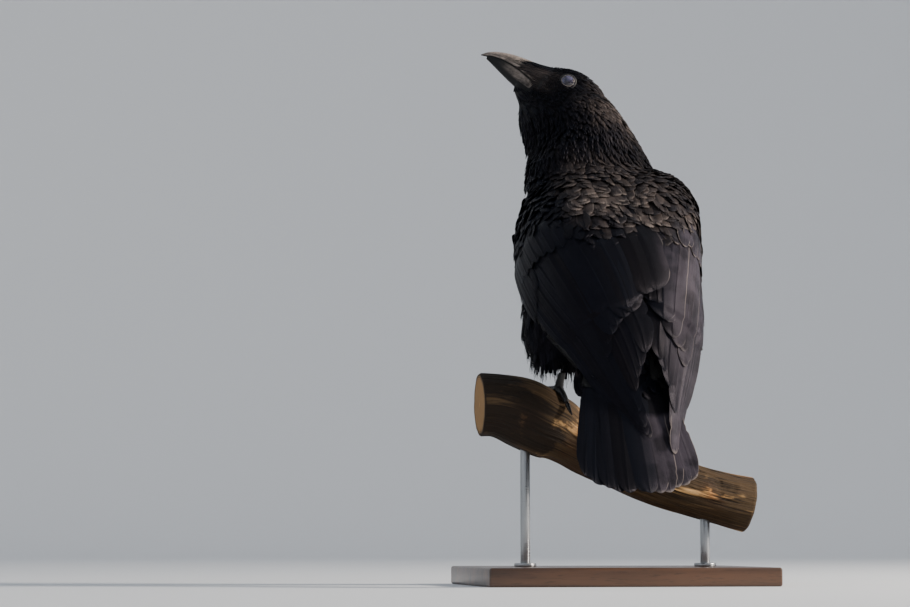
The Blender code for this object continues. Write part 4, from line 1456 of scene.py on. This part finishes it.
def membrane_finish(plumage):
    """The closed third eyelid: milky and wet, with a fine grain of folds over the dark eye."""
    finish = Finish("eye_membrane")
    folds = finish.noise(420.0, 4.0, at=finish.stretched((1.0, 1.0, 3.0)))
    cloud = finish.times(finish.noise(150.0, 2.0), 0.5)
    share = finish.ranged(finish.line(folds, 0.5, cloud), 0.3, 0.7)
    base = finish.mixed(share, plumage.membrane_dark, plumage.membrane)
    return finish.done(
        finish.mixed(finish.own("veil"), plumage.iris_dark, base),
        0.16,
        (folds, 0.0001, 0.4),
        IOR=1.38,
        Coat_Weight=0.8,
        Coat_Roughness=0.04,
        Subsurface_Weight=0.25,
        Subsurface_Radius=(0.002, 0.001, 0.001),
    )


def lid_finish(name, pale, dark):
    """Bare, finely pebbled skin of the eyelids."""
    finish = Finish(name)
    pebbles = finish.cells(1700.0)
    return finish.done(finish.mixed(pebbles, pale, dark), 0.5, (pebbles, 0.0002, 0.7))


def make_eyes(plumage):
    """A milky eye and its two lids on each side of the head."""
    membrane = membrane_finish(plumage)
    finishes = {
        "rim": lid_finish("lid_rim_skin", plumage.lid_pale, plumage.lid_grey),
        "fold": lid_finish("lid_skin", plumage.lid_grey, plumage.black),
    }
    for side, sign in SIDES.items():
        ball = bmesh.new()
        bmesh.ops.create_uvsphere(ball, u_segments=64, v_segments=40, radius=EYE_RADIUS * MM)
        data = mesh_of("eyeball_" + side, ball)
        ahead, _, above = (read(data.vertices, "co", 3) @ HEAD_AXES.T / (EYE_RADIUS * MM)).T
        uncovered = smooth_step(-0.75 * ahead - 0.65 * above, -0.12, 0.34)
        set_attribute(data, "veil", 1 - 0.93 * uncovered)
        data.transform(Matrix.Translation(box_centre("eye_" + side)))
        data.shade_smooth()
        place(new_object("eyeball_" + side, data, membrane), "eye_membrane", "eye_" + side)
        for fold, sizes in LID_RINGS.items():
            name = f"lid_{fold}_{side}"
            lid = tube_mesh(name, lid_rings(side, sign, *sizes), closed=True)
            place(new_object(name, lid, finishes[fold]), "leg_scale")


def lid_rings(side, sign, long_half, high_half, thick, rise):
    """One rolled fold of bare skin round the eye."""
    centre, aside = to_head(box_centre("eye_" + side)), np.array((0, sign, 0))
    rings = []
    for a in circle(96):
        way = np.array((long_half * math.cos(a), 0.0, high_half * math.sin(a)))
        reach = np.linalg.norm(way)
        out = math.sqrt(max(EYE_RADIUS**2 - reach**2, 9.0)) + rise
        radius = thick * (1 + 0.1 * math.sin(31 * a) + 0.12 * math.sin(3 * a + 1))
        rings.append([
            centre + way + aside * out + (way / reach * math.cos(b) + aside * math.sin(b)) * radius
            for b in circle(10)
        ])
    return from_head(rings)


# --- perch and feet ---
# Stations of the perch's middle line and its radius, from under the bird's left side.
PERCH_STATIONS = (
    (116, 2, -9, 26.5), (96, 1, -9.5, 26.5), (75, 0, -15.5, 29), (57, 0, -24, 28),
    (46, 0, -28.5, 26.5), (34, 0, -35.5, 24), (20, 1, -41.5, 25.5), (-5, 1.5, -52, 26),
    (-30, 2, -64, 24.5), (-62, 2, -76, 22.5), (-95, 1, -85, 22.5), (-122, -1, -91, 23.5),
)
PERCH_ROWS = 141
PERCH_ENDS = (110.0, -116.0)
PERCH_RINGS, PERCH_SIDES = 300, 220
SAWN_RINGS = (0.8, 0.55, 0.3, 0.08)  # shares of the radius
# Where each knot lies along and round the perch, in millimetres and degrees; its size, its depth.
KNOTS = ((-86, -70, 9, 1.1), (20, -118, 6, 0.8), (84, -60, 7, 0.9), (-40, 60, 8, 0.9))
KNOT_STRETCH = 1.7
GRAIN_RADIUS = 25.0
CRACKS = 46  # furrows round the perch
CRACK_DEPTH = 0.9
FOOT_PLACES = {"left": 57.0, "right": -2.0}
FOOT_RISE = 3.4
FOOT_CELL = 0.42 * MM
ANKLES = {"left": (38, 20, 46), "right": (-33, 25, 25)}
SCUTE_STEP = 2.7
TOE_HEIGHT = 5  # where the toes end and the shank begins
PAD_LENGTH = 7.5


def perch_lines(x):
    """Centres, radii and upward directions of the perch's sections along X."""
    rows = smooth_table(PERCH_STATIONS, PERCH_ROWS)[::-1]
    x = np.atleast_1d(np.asarray(x, float))

    def centre(at):
        return np.stack([at] + [np.interp(at, rows[:, 0], rows[:, k]) for k in (1, 2)], 1)

    along = unit(centre(x + 2) - centre(x - 2))
    up = unit(np.array((0, 0, 1.0)) - along * along[:, 2:3])
    return centre(x), np.interp(x, rows[:, 0], rows[:, 3]), up


def furrows(x, angle, rng):
    """Depth in millimetres of the weathered grain at places along and round the perch."""
    depth = 0.0
    for k in range(CRACKS):
        bend, shift = rng.uniform(0.015, 0.05), rng.uniform(0, 2 * math.pi)
        sway = 0.09 * np.sin(x * bend + shift) + 0.05 * np.sin(x * bend * 2.7 + shift * 3)
        middle = 2 * math.pi * (k + rng.uniform(-0.4, 0.4)) / CRACKS
        off = wrapped(angle - middle - sway)
        start = rng.uniform(-150, 90)
        end = start + rng.uniform(50, 180)
        fade = smooth_step(x, start, start + 14) * (1 - smooth_step(x, end, end + 20))
        width = rng.uniform(0.012, 0.04)
        depth = depth + rng.uniform(0.25, 1.0) * fade * bell(off, width)
    fine = 0.14 * np.sin(angle * 71 + 2.0 * np.sin(x * 0.021)) * np.sin(angle * 29 + x * 0.013)
    twist = angle + 0.5 * np.sin(x * 0.013 + 1.0) + x * 0.004
    flutes = 0.8 + 0.8 * np.sin(twist * 7 + 0.8 * np.sin(x * 0.031)) * np.sin(twist * 3 + 0.6)
    lumps = 0.5 + 0.5 * np.sin(x * 0.09 + 2 * np.sin(angle)) * np.sin(angle * 2 + x * 0.02)
    return CRACK_DEPTH * np.clip(depth, 0, 1.2) + 0.15 + fine + 0.8 * flutes + 0.6 * lumps


def knots(x, angle, radius):
    """Raised rims round sunken knots, as extra depth in millimetres."""
    depth = 0.0
    for place_x, turn, size, deep in KNOTS:
        around = wrapped(angle - math.radians(turn)) * radius
        along = (x - place_x) / KNOT_STRETCH
        way = np.arctan2(around, along)
        ragged = 1 + 0.16 * np.sin(3 * way + turn) + 0.1 * np.sin(5 * way + place_x)
        ragged = ragged + 0.06 * np.sin(11 * way)
        far = np.hypot(along, around) / (size * ragged)
        creases = 0.35 * (0.5 + 0.5 * np.sin(far * 13 + 2 * np.sin(way * 2))) * bell(far, 1.3)
        depth = depth + 1.3 * deep * bell(far, 0.5) + creases - 0.5 * bell(far - 1.0, 0.35)
    return depth


def make_perch(settings):
    """A length of weathered branch with furrowed grain, knots and sawn ends."""
    rng = np.random.default_rng(settings.seed)
    x = np.linspace(*PERCH_ENDS, PERCH_RINGS)[:, None]
    angle = np.linspace(0, 2 * math.pi, PERCH_SIDES, endpoint=False)[None]
    centre, radius, up = perch_lines(x[:, 0])
    radius = radius[:, None]
    inner = np.maximum(furrows(x, angle, rng) + knots(x, angle, radius), 0.02)
    for place_x in FOOT_PLACES.values():
        near = np.hypot(x - place_x, wrapped(angle) * radius)
        inner = inner * (0.12 + 0.88 * smooth_step(near, 24, 46))
    ends = np.minimum(abs(x - PERCH_ENDS[0]), abs(x - PERCH_ENDS[1]))
    inner = inner + 0.8 * (1 - smooth_step(ends, 0, 1.5))
    ahead = np.array((0, -1.0, 0))
    way = up[:, None] * np.cos(angle)[..., None] + ahead * np.sin(angle)[..., None]
    points = centre[:, None] + way * (radius - inner)[..., None]
    grain = np.stack(np.broadcast_arrays(x, angle * GRAIN_RADIUS, radius - inner), -1)
    rings, marks = list(points), list(grain)
    for share in SAWN_RINGS:
        caps = [centre[end] + (points[end] - centre[end]) * share for end in (0, -1)]
        cuts = [grain[end] * (1, 1, share) for end in (0, -1)]
        rings = [caps[0], *rings, caps[1]]
        marks = [cuts[0], *marks, cuts[1]]
    data = tube_mesh("weathered_perch", from_bird(rings), sharp=50)
    set_attribute(data, "grain", marks, vector=True)
    side = slice(len(SAWN_RINGS), -len(SAWN_RINGS))
    # The furrows' depth, which the finish turns into painted shade.
    sawn, furrow_shade = np.ones((len(rings), PERCH_SIDES)), np.zeros((len(rings), PERCH_SIDES))
    sawn[side], furrow_shade[side] = 0, np.clip(inner, 0, 1)
    set_attribute(data, "sawn", sawn)
    set_attribute(data, "furrow_shade", furrow_shade)
    place(new_object("weathered_perch", data, wood_finish(settings)), "weathered_wood", "perch")


def wood_finish(settings):
    """Sun-bleached bare branch: grey-brown fibres, painted shade darkening the furrows by their
    depth, dark bark that is partly a painted shadow of the bird towards its left side, ringed on
    the sawn ends.
    """
    finish = Finish("weathered_wood")
    along, round_it, out = finish.parts(finish.own("grain", "Vector"))
    turn = finish.times(round_it, 1 / GRAIN_RADIUS)
    grain = finish.joined(
        finish.times(along, 0.035),
        finish.times(finish.maths("SINE", turn), GRAIN_RADIUS),
        finish.times(finish.maths("COSINE", turn), GRAIN_RADIUS),
    )
    fibres = finish.noise(1.1, 6.0, 0.65, grain)
    streaks = finish.noise(0.22, 4.0, at=grain)
    hairs = finish.noise(0.8, 5.0, 0.6, grain)
    blotch = finish.noise(28.0, 4.0)
    bark = finish.noise(17.0, 7.0, 0.7)
    # More bark towards the bird's left side: partly a painted shadow of the bird on the branch.
    bark_and_shade = finish.maths("ADD", bark, finish.ranged(along, 22.0, 60.0, -0.1, 0.15))
    base = finish.mixed(finish.ranged(streaks, 0.28, 0.56), settings.wood_dark, settings.wood_light)
    for value, reach, colour_over in (
        (fibres, (0.35, 0.7, 0.0, 0.6), settings.wood_pale),
        (blotch, (0.45, 0.7, 0.0, 0.6), settings.wood_warm),
        (hairs, (0.4, 0.47, 0.85, 0.0), settings.wood_crack),
        (bark_and_shade, (0.5, 0.57, 0.0, 0.85), settings.bark),
        # Painted shade, darker the deeper the furrow.
        (finish.own("furrow_shade"), (0.2, 0.85, 0.0, 0.9), settings.wood_crack),
    ):
        base = finish.mixed(finish.ranged(value, *reach), base, colour_over)
    rings = finish.maths("SINE", finish.line(out, 4.2, finish.times(blotch, 6.0)))
    cut = finish.mixed(finish.ranged(rings, -0.6, 1.0), settings.wood_light, settings.wood_crack)
    rough = finish.maths("ADD", finish.maths("ADD", fibres, hairs), finish.times(bark, 2.0))
    return finish.done(
        finish.mixed(finish.own("sawn"), base, cut), 0.82, (rough, 0.0008, 0.9),
        Specular_IOR_Level=0.3,
    )


def leg_finish(plumage):
    """Horny black scales: smooth plates in front, a fine net of cells at the sides."""
    finish = Finish("leg_scale")
    dust = finish.noise(320.0, 4.0)
    dusty_and_lit = finish.ranged(dust, 0.4, 0.75, 0.0, 0.8)
    base = finish.mixed(dusty_and_lit, plumage.leg_black, plumage.leg_grey)
    base = finish.mixed(finish.times(finish.own("seam"), 0.8), base, plumage.deep_black)
    net = finish.maths("SUBTRACT", 1.0, finish.cells(850.0))
    return finish.done(base, finish.line(dust, 0.25, 0.3), (net, 0.00018, 0.5))


def claw_finish(plumage):
    """Smooth black horn, greyer in patches."""
    finish = Finish("claw_horn")
    worn_and_lit = finish.noise(260.0)
    base = finish.mixed(finish.ranged(worn_and_lit, 0.4, 0.8), plumage.leg_black, plumage.leg_grey)
    return finish.done(base, 0.27, (worn_and_lit, 0.0001, 0.4))


def foot_centre(side):
    centre, radius, up = perch_lines(FOOT_PLACES[side])
    return from_bird(centre[0] + up[0] * (radius[0] + FOOT_RISE))


def make_foot(side, sign, scale, horn):
    """A shank and its toes with scutes above and pads beneath, and four curved claws."""
    foot = remeshed("foot_" + side, merged_copy("leg_" + side), FOOT_CELL, 5)
    data = foot.data
    points, normals = read(data.vertices, "co", 3), read(data.vertices, "normal", 3)
    ball = foot_centre(side)
    shank = unit(from_bird(ANKLES[side]) - ball)
    above = unit(from_row(points) - perch_lines(from_row(points)[:, 0])[0])
    height = (points - ball) @ shank / MM
    on_shank = smooth_step(height, 3.5, 6.5)[:, None]
    facing = unit(above * (1 - on_shank) + unit((0.35 * sign, -1.0, 0.0)) * on_shank)
    top = smooth_step((normals * facing).sum(1), -0.1, 0.45)
    raised = height > TOE_HEIGHT
    run = np.where(raised, height, np.linalg.norm(points - ball, axis=1) / MM)
    phase = (run / np.where(raised, SCUTE_STEP * 1.7, SCUTE_STEP)) % 1.0
    plate = 0.34 * (1 - phase) * smooth_step(phase, 0, 0.14)
    pad = np.where(raised, 0.0, 0.45 * abs(np.sin(math.pi * run / PAD_LENGTH)))
    rise = top * plate + (1 - top) * pad
    write(data.vertices, "co", points + normals * rise[:, None] * MM)
    set_attribute(data, "seam", top * bell(np.minimum(phase, 1 - phase), 0.09))
    data.materials.append(scale)
    data.shade_smooth()
    place(foot, "leg_scale", "leg_" + side)
    for toe in ("inner", "middle", "outer", "hind"):
        node, name = f"claw_{side}_{toe}", f"talon_{side}_{toe}"
        talon = new_object(name, mesh_of(name, merged_copy(node)), horn)
        modify(talon, "SUBSURF", levels=2, render_levels=2)
        finished(talon).data.shade_smooth()
        place(talon, "claw_horn", node)


def make_feet(plumage):
    scale, horn = leg_finish(plumage), claw_finish(plumage)
    for side, sign in SIDES.items():
        make_foot(side, sign, scale, horn)


# --- display stand ---
ROD_OVERLAP = 4 * MM  # how far each rod reaches into the perch
COLLAR_WIDTH, COLLAR_HEIGHT = 5 * MM, 3 * MM


def board_finish(settings):
    """Stained and satin-varnished hardwood board with its grain along X."""
    finish = Finish("stained_wood")
    along = finish.stretched((0.07, 1.0, 1.0))
    figure, pores = finish.noise(70.0, 5.0, at=along), finish.noise(1300.0, 2.0, at=along)
    base = finish.mixed(finish.ranged(figure, 0.3, 0.7), settings.stain_dark, settings.stain_light)
    base = finish.mixed(finish.ranged(pores, 0.55, 0.75, 0.0, 0.7), base, settings.stain_dark)
    gloss = finish.line(pores, 0.15, 0.3)
    return finish.done(base, gloss, (pores, 0.0001, 0.4), Coat_Weight=0.35, Coat_Roughness=0.2)


def steel_finish(settings):
    """Drawn steel rod, brushed round: fine bands that spread the highlight along the rod."""
    finish = Finish("rod_steel")
    bands = finish.noise(2600.0, 2.0, at=finish.stretched((0.05, 0.05, 1.0)))
    gloss = finish.line(bands, 0.22, 0.2)
    return finish.done(settings.steel, gloss, (bands, 0.00005, 0.5), Metallic=1.0)


def bevelled(name, mesh, middle, material, width, segments):
    """A bmesh moved to its place, with its edges rounded."""
    bmesh.ops.translate(mesh, vec=middle, verts=mesh.verts)
    obj = new_object(name, mesh_of(name, mesh), material)
    modify(
        obj, "BEVEL", width=width, segments=segments, limit_method="ANGLE",
        angle_limit=math.radians(50),
    )
    data = finished(obj).data
    data.shade_smooth()
    data.set_sharp_from_angle(angle=math.radians(35))
    return obj


def cylinder(radius, depth, segments):
    mesh = bmesh.new()
    sizes = {"radius1": radius, "radius2": radius, "depth": depth}
    bmesh.ops.create_cone(mesh, cap_ends=True, segments=segments, **sizes)
    return mesh


def make_stand(settings):
    """The flat board, two rods up into the perch, and a collar at the foot of each."""
    low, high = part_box("stand_base")
    mesh = bmesh.new()
    bmesh.ops.create_cube(mesh, size=1.0)
    bmesh.ops.scale(mesh, vec=high - low, verts=mesh.verts)
    finish, steel = board_finish(settings), steel_finish(settings)
    board = bevelled("stand_board", mesh, (high + low) / 2, finish, 2.0 * MM, 5)
    place(board, "stained_wood", "stand_base")
    floor = high.z
    for number in (1, 2):
        node = f"stand_rod_{number}"
        low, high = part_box(node)
        x, y, z = (low + high) / 2
        radius = (high.x - low.x) / 2
        rod = cylinder(radius, high.z - low.z + ROD_OVERLAP, 48)
        middle = (x, y, z + ROD_OVERLAP / 2)
        rod = bevelled(f"stand_upright_{number}", rod, middle, steel, 0.3 * MM, 2)
        place(rod, "rod_steel", node)
        collar = cylinder(radius + COLLAR_WIDTH, COLLAR_HEIGHT, 64)
        middle = (x, y, floor + COLLAR_HEIGHT / 2)
        collar = bevelled(f"stand_collar_{number}", collar, middle, steel, 0.8 * MM, 3)
        place(collar, "rod_steel")


# --- studio ---
VIEW_AZIMUTH, VIEW_ELEVATION = 170.0, -5.0
VIEW_DISTANCE = 2.2
VIEW_AIM = (0.127, -0.016, 0.2297)
SENSOR_WIDTH = 36.0
ROOM_RADIUS, ROOM_CURVE, ROOM_HEIGHT = 3.2, 1.6, 4.6
ROOM_SIDES = 96
# Where each lamp stands from the aim: metres to the viewer's right, up and back to the camera.
KEY_FROM_AIM = (2.35, 0.85, 0.25)
FILL_FROM_AIM = (-1.6, 0.9, 1.2)
FILL_SIZE = 1.6
FILL_COLOUR = (0.85, 0.92, 1.0)
SKY_COLOUR = (0.86, 0.92, 1.0, 1.0)


def view_axes():
    """Right, up and backward directions of the camera."""
    a, e = math.radians(VIEW_AZIMUTH), math.radians(VIEW_ELEVATION)
    back = Vector((math.sin(a) * math.cos(e), -math.cos(a) * math.cos(e), math.sin(e)))
    right = Vector((0, 0, 1)).cross(back).normalized()
    return right, back.cross(right), back


def paper_finish(studio):
    """Matt pale studio paper with hardly any gloss."""
    return Finish("studio_paper").done(studio.paper, 0.9, Specular_IOR_Level=0.1)


def make_room(studio):
    """A round floor that curves up into a wall on every side."""
    profile = [(ROOM_RADIUS, 0.0)]
    for a in (math.pi / 2 * k / 12 for k in range(1, 13)):
        out, up = ROOM_CURVE * math.sin(a), ROOM_CURVE - ROOM_CURVE * math.cos(a)
        profile.append((ROOM_RADIUS + out, up))
    profile.append((ROOM_RADIUS + ROOM_CURVE, ROOM_HEIGHT))
    points = [
        (radius * math.cos(a), radius * math.sin(a), height)
        for radius, height in profile for a in circle(ROOM_SIDES)
    ]
    walls = [(a, d, c, b) for a, b, c, d in ring_faces(len(profile), ROOM_SIDES)[:-2]]
    data = mesh_from("studio_floor", points, [tuple(range(ROOM_SIDES)), *walls])
    data.shade_smooth()
    floor = new_object("studio_floor", data, paper_finish(studio))


def make_light(name, place_at, aim, size, power, tint):
    data = bpy.data.lights.new(name, "AREA")
    data.shape, data.size, data.energy, data.color = "DISK", size, power, tint[:3]
    lamp = new_object(name, data)
    lamp.location = place_at
    lamp.rotation_euler = (place_at - aim).to_track_quat("Z", "Y").to_euler()


def make_studio(studio):
    """Pale room, a strong soft light from the viewer's upper right, a weak fill, the camera."""
    make_room(studio)
    right, up, back = view_axes()
    aim, above = Vector(VIEW_AIM), Vector((0, 0, 1))
    key, fill = (
        aim + right * x + above * y + back * z for x, y, z in (KEY_FROM_AIM, FILL_FROM_AIM)
    )
    make_light("key_light", key, aim, studio.key_size, studio.key_power, studio.key_colour)
    make_light("fill_light", fill, aim, FILL_SIZE, studio.fill_power, FILL_COLOUR)
    world = bpy.data.worlds.new("soft_daylight")
    world.use_nodes = True
    background = world.node_tree.nodes["Background"]
    background.inputs["Color"].default_value = SKY_COLOUR
    background.inputs["Strength"].default_value = studio.sky_strength
    bpy.context.scene.world = world
    data = bpy.data.cameras.new("camera")
    data.lens, data.sensor_width = studio.lens, SENSOR_WIDTH
    camera = new_object("camera", data)
    camera.location = aim + back * VIEW_DISTANCE
    camera.rotation_euler = Matrix((right, up, back)).transposed().to_euler()
    bpy.context.scene.camera = camera


# --- settings ---
def colour(name, hex_colour, description):
    kind = {"subtype": "COLOR", "size": 3, "min": 0, "max": 1}
    return FloatVectorProperty(
        name=name, description=description, default=linear(hex_colour), **kind
    )


def amount(name, default, description, low=0.0, high=10.0, **kind):
    kind = {"min": low, "max": high, **kind}
    return FloatProperty(name=name, description=description, default=default, **kind)


class PlumageSettings(bpy.types.PropertyGroup):
    """Sizes and colours of the bird."""

    seed: IntProperty(name="Seed", description="Fixes the order of random choices", default=11)
    feather_scale: amount("Feather scale", 1.0, "Size and spacing of small feathers", 0.6, 1.6)
    vane_thickness: amount("Vane thickness", 0.0004, "Depth of a small feather", subtype="DISTANCE")
    # Strength of the painted highlight on feather edges and tips.
    edge_highlight: amount("Edge light", 0.45, "How much paler feather edges are")
    black: colour("Black", "#070709", "Plumage")
    blue_black: colour("Blue black", "#0a0e15", "Colder plumage")
    deep_black: colour("Deep black", "#050506", "Skin, down and gaps")
    # Partly real browning of old feathers, partly painted light on the nape, back and right
    # shoulder.
    worn_and_lit_brown: colour("Worn brown", "#5a504b", "Old feathers on the back")
    # Painted light on the lit right wing and the right of the tail.
    lit_slate: colour("Worn slate", "#413c44", "Old flight feathers")
    # Painted sky reflection on the feather edges.
    edge_sky_reflection: colour("Blue edge", "#2b3644", "Fresh feather edges")
    # Painted highlight on the feather edges where the brown mask is high.
    edge_highlight_brown: colour("Brown edge", "#b3a59c", "Worn feather edges")
    sheen: colour("Sheen", "#7d93b5", "Cold sheen of the barbs")
    gloss: colour("Gloss", "#e6d8f2", "Faintly violet gloss of the vanes")
    horn_dark: colour("Horn", "#0c0c0d", "Bill")
    # Painted highlight colour of the bill, with dust.
    horn_highlight: colour("Horn bloom", "#a89a90", "Dusty parts of the bill")
    membrane: colour("Membrane", "#716f8e", "Closed third eyelid")
    membrane_dark: colour("Membrane folds", "#211f38", "Darker parts of the third eyelid")
    iris_dark: colour("Eye", "#17121f", "The eye behind the third eyelid")
    lid_grey: colour("Lid", "#1f1e20", "Bare skin of the lids")
    lid_pale: colour("Lid rim", "#9b9189", "Thin pale rim of the lids")
    leg_black: colour("Leg", "#121213", "Scales of legs and toes")
    leg_grey: colour("Leg bloom", "#1e1d1e", "Dusty scales")


class PerchSettings(bpy.types.PropertyGroup):
    """Colours of the perch and the stand."""

    seed: IntProperty(name="Seed", description="Fixes where the cracks run", default=5)
    wood_light: colour("Light wood", "#c4975f", "Weathered branch")
    wood_pale: colour("Pale fibres", "#dab684", "Bleached fibres")
    wood_warm: colour("Warm wood", "#a8652f", "Reddish patches")
    wood_dark: colour("Dark wood", "#5e432a", "Shaded streaks")
    # Dark of the fine cracks and sawn rings, and the painted shade in the furrows.
    wood_crack: colour("Cracks", "#1a120c", "Depth of the grain")
    # Bark, laid partly as a painted shadow of the bird towards its left side.
    bark: colour("Bark", "#2a2018", "Dark remains of bark")
    stain_light: colour("Stain", "#5b3d28", "Board")
    stain_dark: colour("Dark stain", "#2f1e13", "Figure of the board")
    steel: colour("Steel", "#a7a9ab", "Rods and collars")


class StudioSettings(bpy.types.PropertyGroup):
    """Light, backdrop and camera."""

    paper: colour("Paper", "#e3e6ea", "Floor and wall")
    lens: amount("Lens", 106.2, "Focal length in millimetres", 20, 300)
    key_power: amount("Key power", 120.0, "Main light in watts", 0, 5000, subtype="POWER")
    key_size: amount("Key size", 0.5, "Width of the main light", subtype="DISTANCE")
    key_colour: colour("Key colour", "#fff4e6", "Warmth of the main light")
    fill_power: amount("Fill power", 1.5, "Weak light in watts", 0, 5000, subtype="POWER")
    sky_strength: amount("Sky", 0.55, "Strength of the soft daylight")


# --- operators ---
class CROW_OT_skin(bpy.types.Operator):
    """Makes the one skin under the feathers."""

    bl_idname = "crow.skin"
    bl_label = "Skin"

    def execute(self, context):
        make_skin(context.scene.crow_plumage)
        return {"FINISHED"}


class CROW_OT_small_feathers(bpy.types.Operator):
    """Lays the small feathers of the head, body and wing fronts."""

    bl_idname = "crow.small_feathers"
    bl_label = "Small feathers"

    def execute(self, context):
        make_coats(context.scene.crow_plumage)
        return {"FINISHED"}


class CROW_OT_wings(bpy.types.Operator):
    """Lays the flight feathers and larger coverts of both wings."""

    bl_idname = "crow.wings"
    bl_label = "Wing feathers"

    def execute(self, context):
        make_wings(context.scene.crow_plumage)
        return {"FINISHED"}


class CROW_OT_tail(bpy.types.Operator):
    """Lays the twelve tail feathers."""

    bl_idname = "crow.tail"
    bl_label = "Tail feathers"

    def execute(self, context):
        make_tail(context.scene.crow_plumage)
        return {"FINISHED"}


class CROW_OT_bill(bpy.types.Operator):
    """Makes both halves of the bill and the lining between them."""

    bl_idname = "crow.bill"
    bl_label = "Bill"

    def execute(self, context):
        make_bill(context.scene.crow_plumage)
        return {"FINISHED"}


class CROW_OT_eyes(bpy.types.Operator):
    """Makes the milky eyes and their lids."""

    bl_idname = "crow.eyes"
    bl_label = "Eyes"

    def execute(self, context):
        make_eyes(context.scene.crow_plumage)
        return {"FINISHED"}


class CROW_OT_feet(bpy.types.Operator):
    """Makes the shanks, toes and claws."""

    bl_idname = "crow.feet"
    bl_label = "Feet"

    def execute(self, context):
        make_feet(context.scene.crow_plumage)
        return {"FINISHED"}


class CROW_OT_perch(bpy.types.Operator):
    """Makes the length of branch."""

    bl_idname = "crow.perch"
    bl_label = "Perch"

    def execute(self, context):
        make_perch(context.scene.crow_perch)
        return {"FINISHED"}


class CROW_OT_stand(bpy.types.Operator):
    """Makes the board, the rods and their collars."""

    bl_idname = "crow.stand"
    bl_label = "Stand"

    def execute(self, context):
        make_stand(context.scene.crow_perch)
        return {"FINISHED"}


class CROW_OT_studio(bpy.types.Operator):
    """Makes the floor, the lights and the camera."""

    bl_idname = "crow.studio"
    bl_label = "Studio"

    def execute(self, context):
        make_studio(context.scene.crow_studio)
        return {"FINISHED"}


OPERATORS = (
    CROW_OT_skin,
    CROW_OT_small_feathers,
    CROW_OT_wings,
    CROW_OT_tail,
    CROW_OT_bill,
    CROW_OT_eyes,
    CROW_OT_feet,
    CROW_OT_perch,
    CROW_OT_stand,
    CROW_OT_studio,
)


class CROW_PT_panel(bpy.types.Panel):
    """The steps that build the bird, in order."""

    bl_label = "Perched carrion crow"
    bl_idname = "CROW_PT_panel"
    bl_space_type = "VIEW_3D"
    bl_region_type = "UI"
    bl_category = "Crow"

    def draw(self, context):
        for step in OPERATORS:
            self.layout.operator(step.bl_idname)
        for group in SETTINGS:
            box = self.layout.box()
            values = getattr(context.scene, group)
            for name in SETTINGS[group].__annotations__:
                box.prop(values, name)


SETTINGS = {
    "crow_plumage": PlumageSettings,
    "crow_perch": PerchSettings,
    "crow_studio": StudioSettings,
}
CLASSES = (*SETTINGS.values(), *OPERATORS, CROW_PT_panel)


def register():
    for cls in CLASSES:
        bpy.utils.register_class(cls)
    for name, cls in SETTINGS.items():
        setattr(bpy.types.Scene, name, PointerProperty(type=cls))


def unregister():
    for name in SETTINGS:
        delattr(bpy.types.Scene, name)
    for cls in reversed(CLASSES):
        bpy.utils.unregister_class(cls)


def corners(box):
    return [list(corner) for corner in box]


def main():
    register()
    for step in OPERATORS:
        group, name = step.bl_idname.split(".")
        getattr(getattr(bpy.ops, group), name)()
    bpy.data.objects.remove(body().envelope.object, do_unlink=True)


if __name__ == "__main__":
    main()
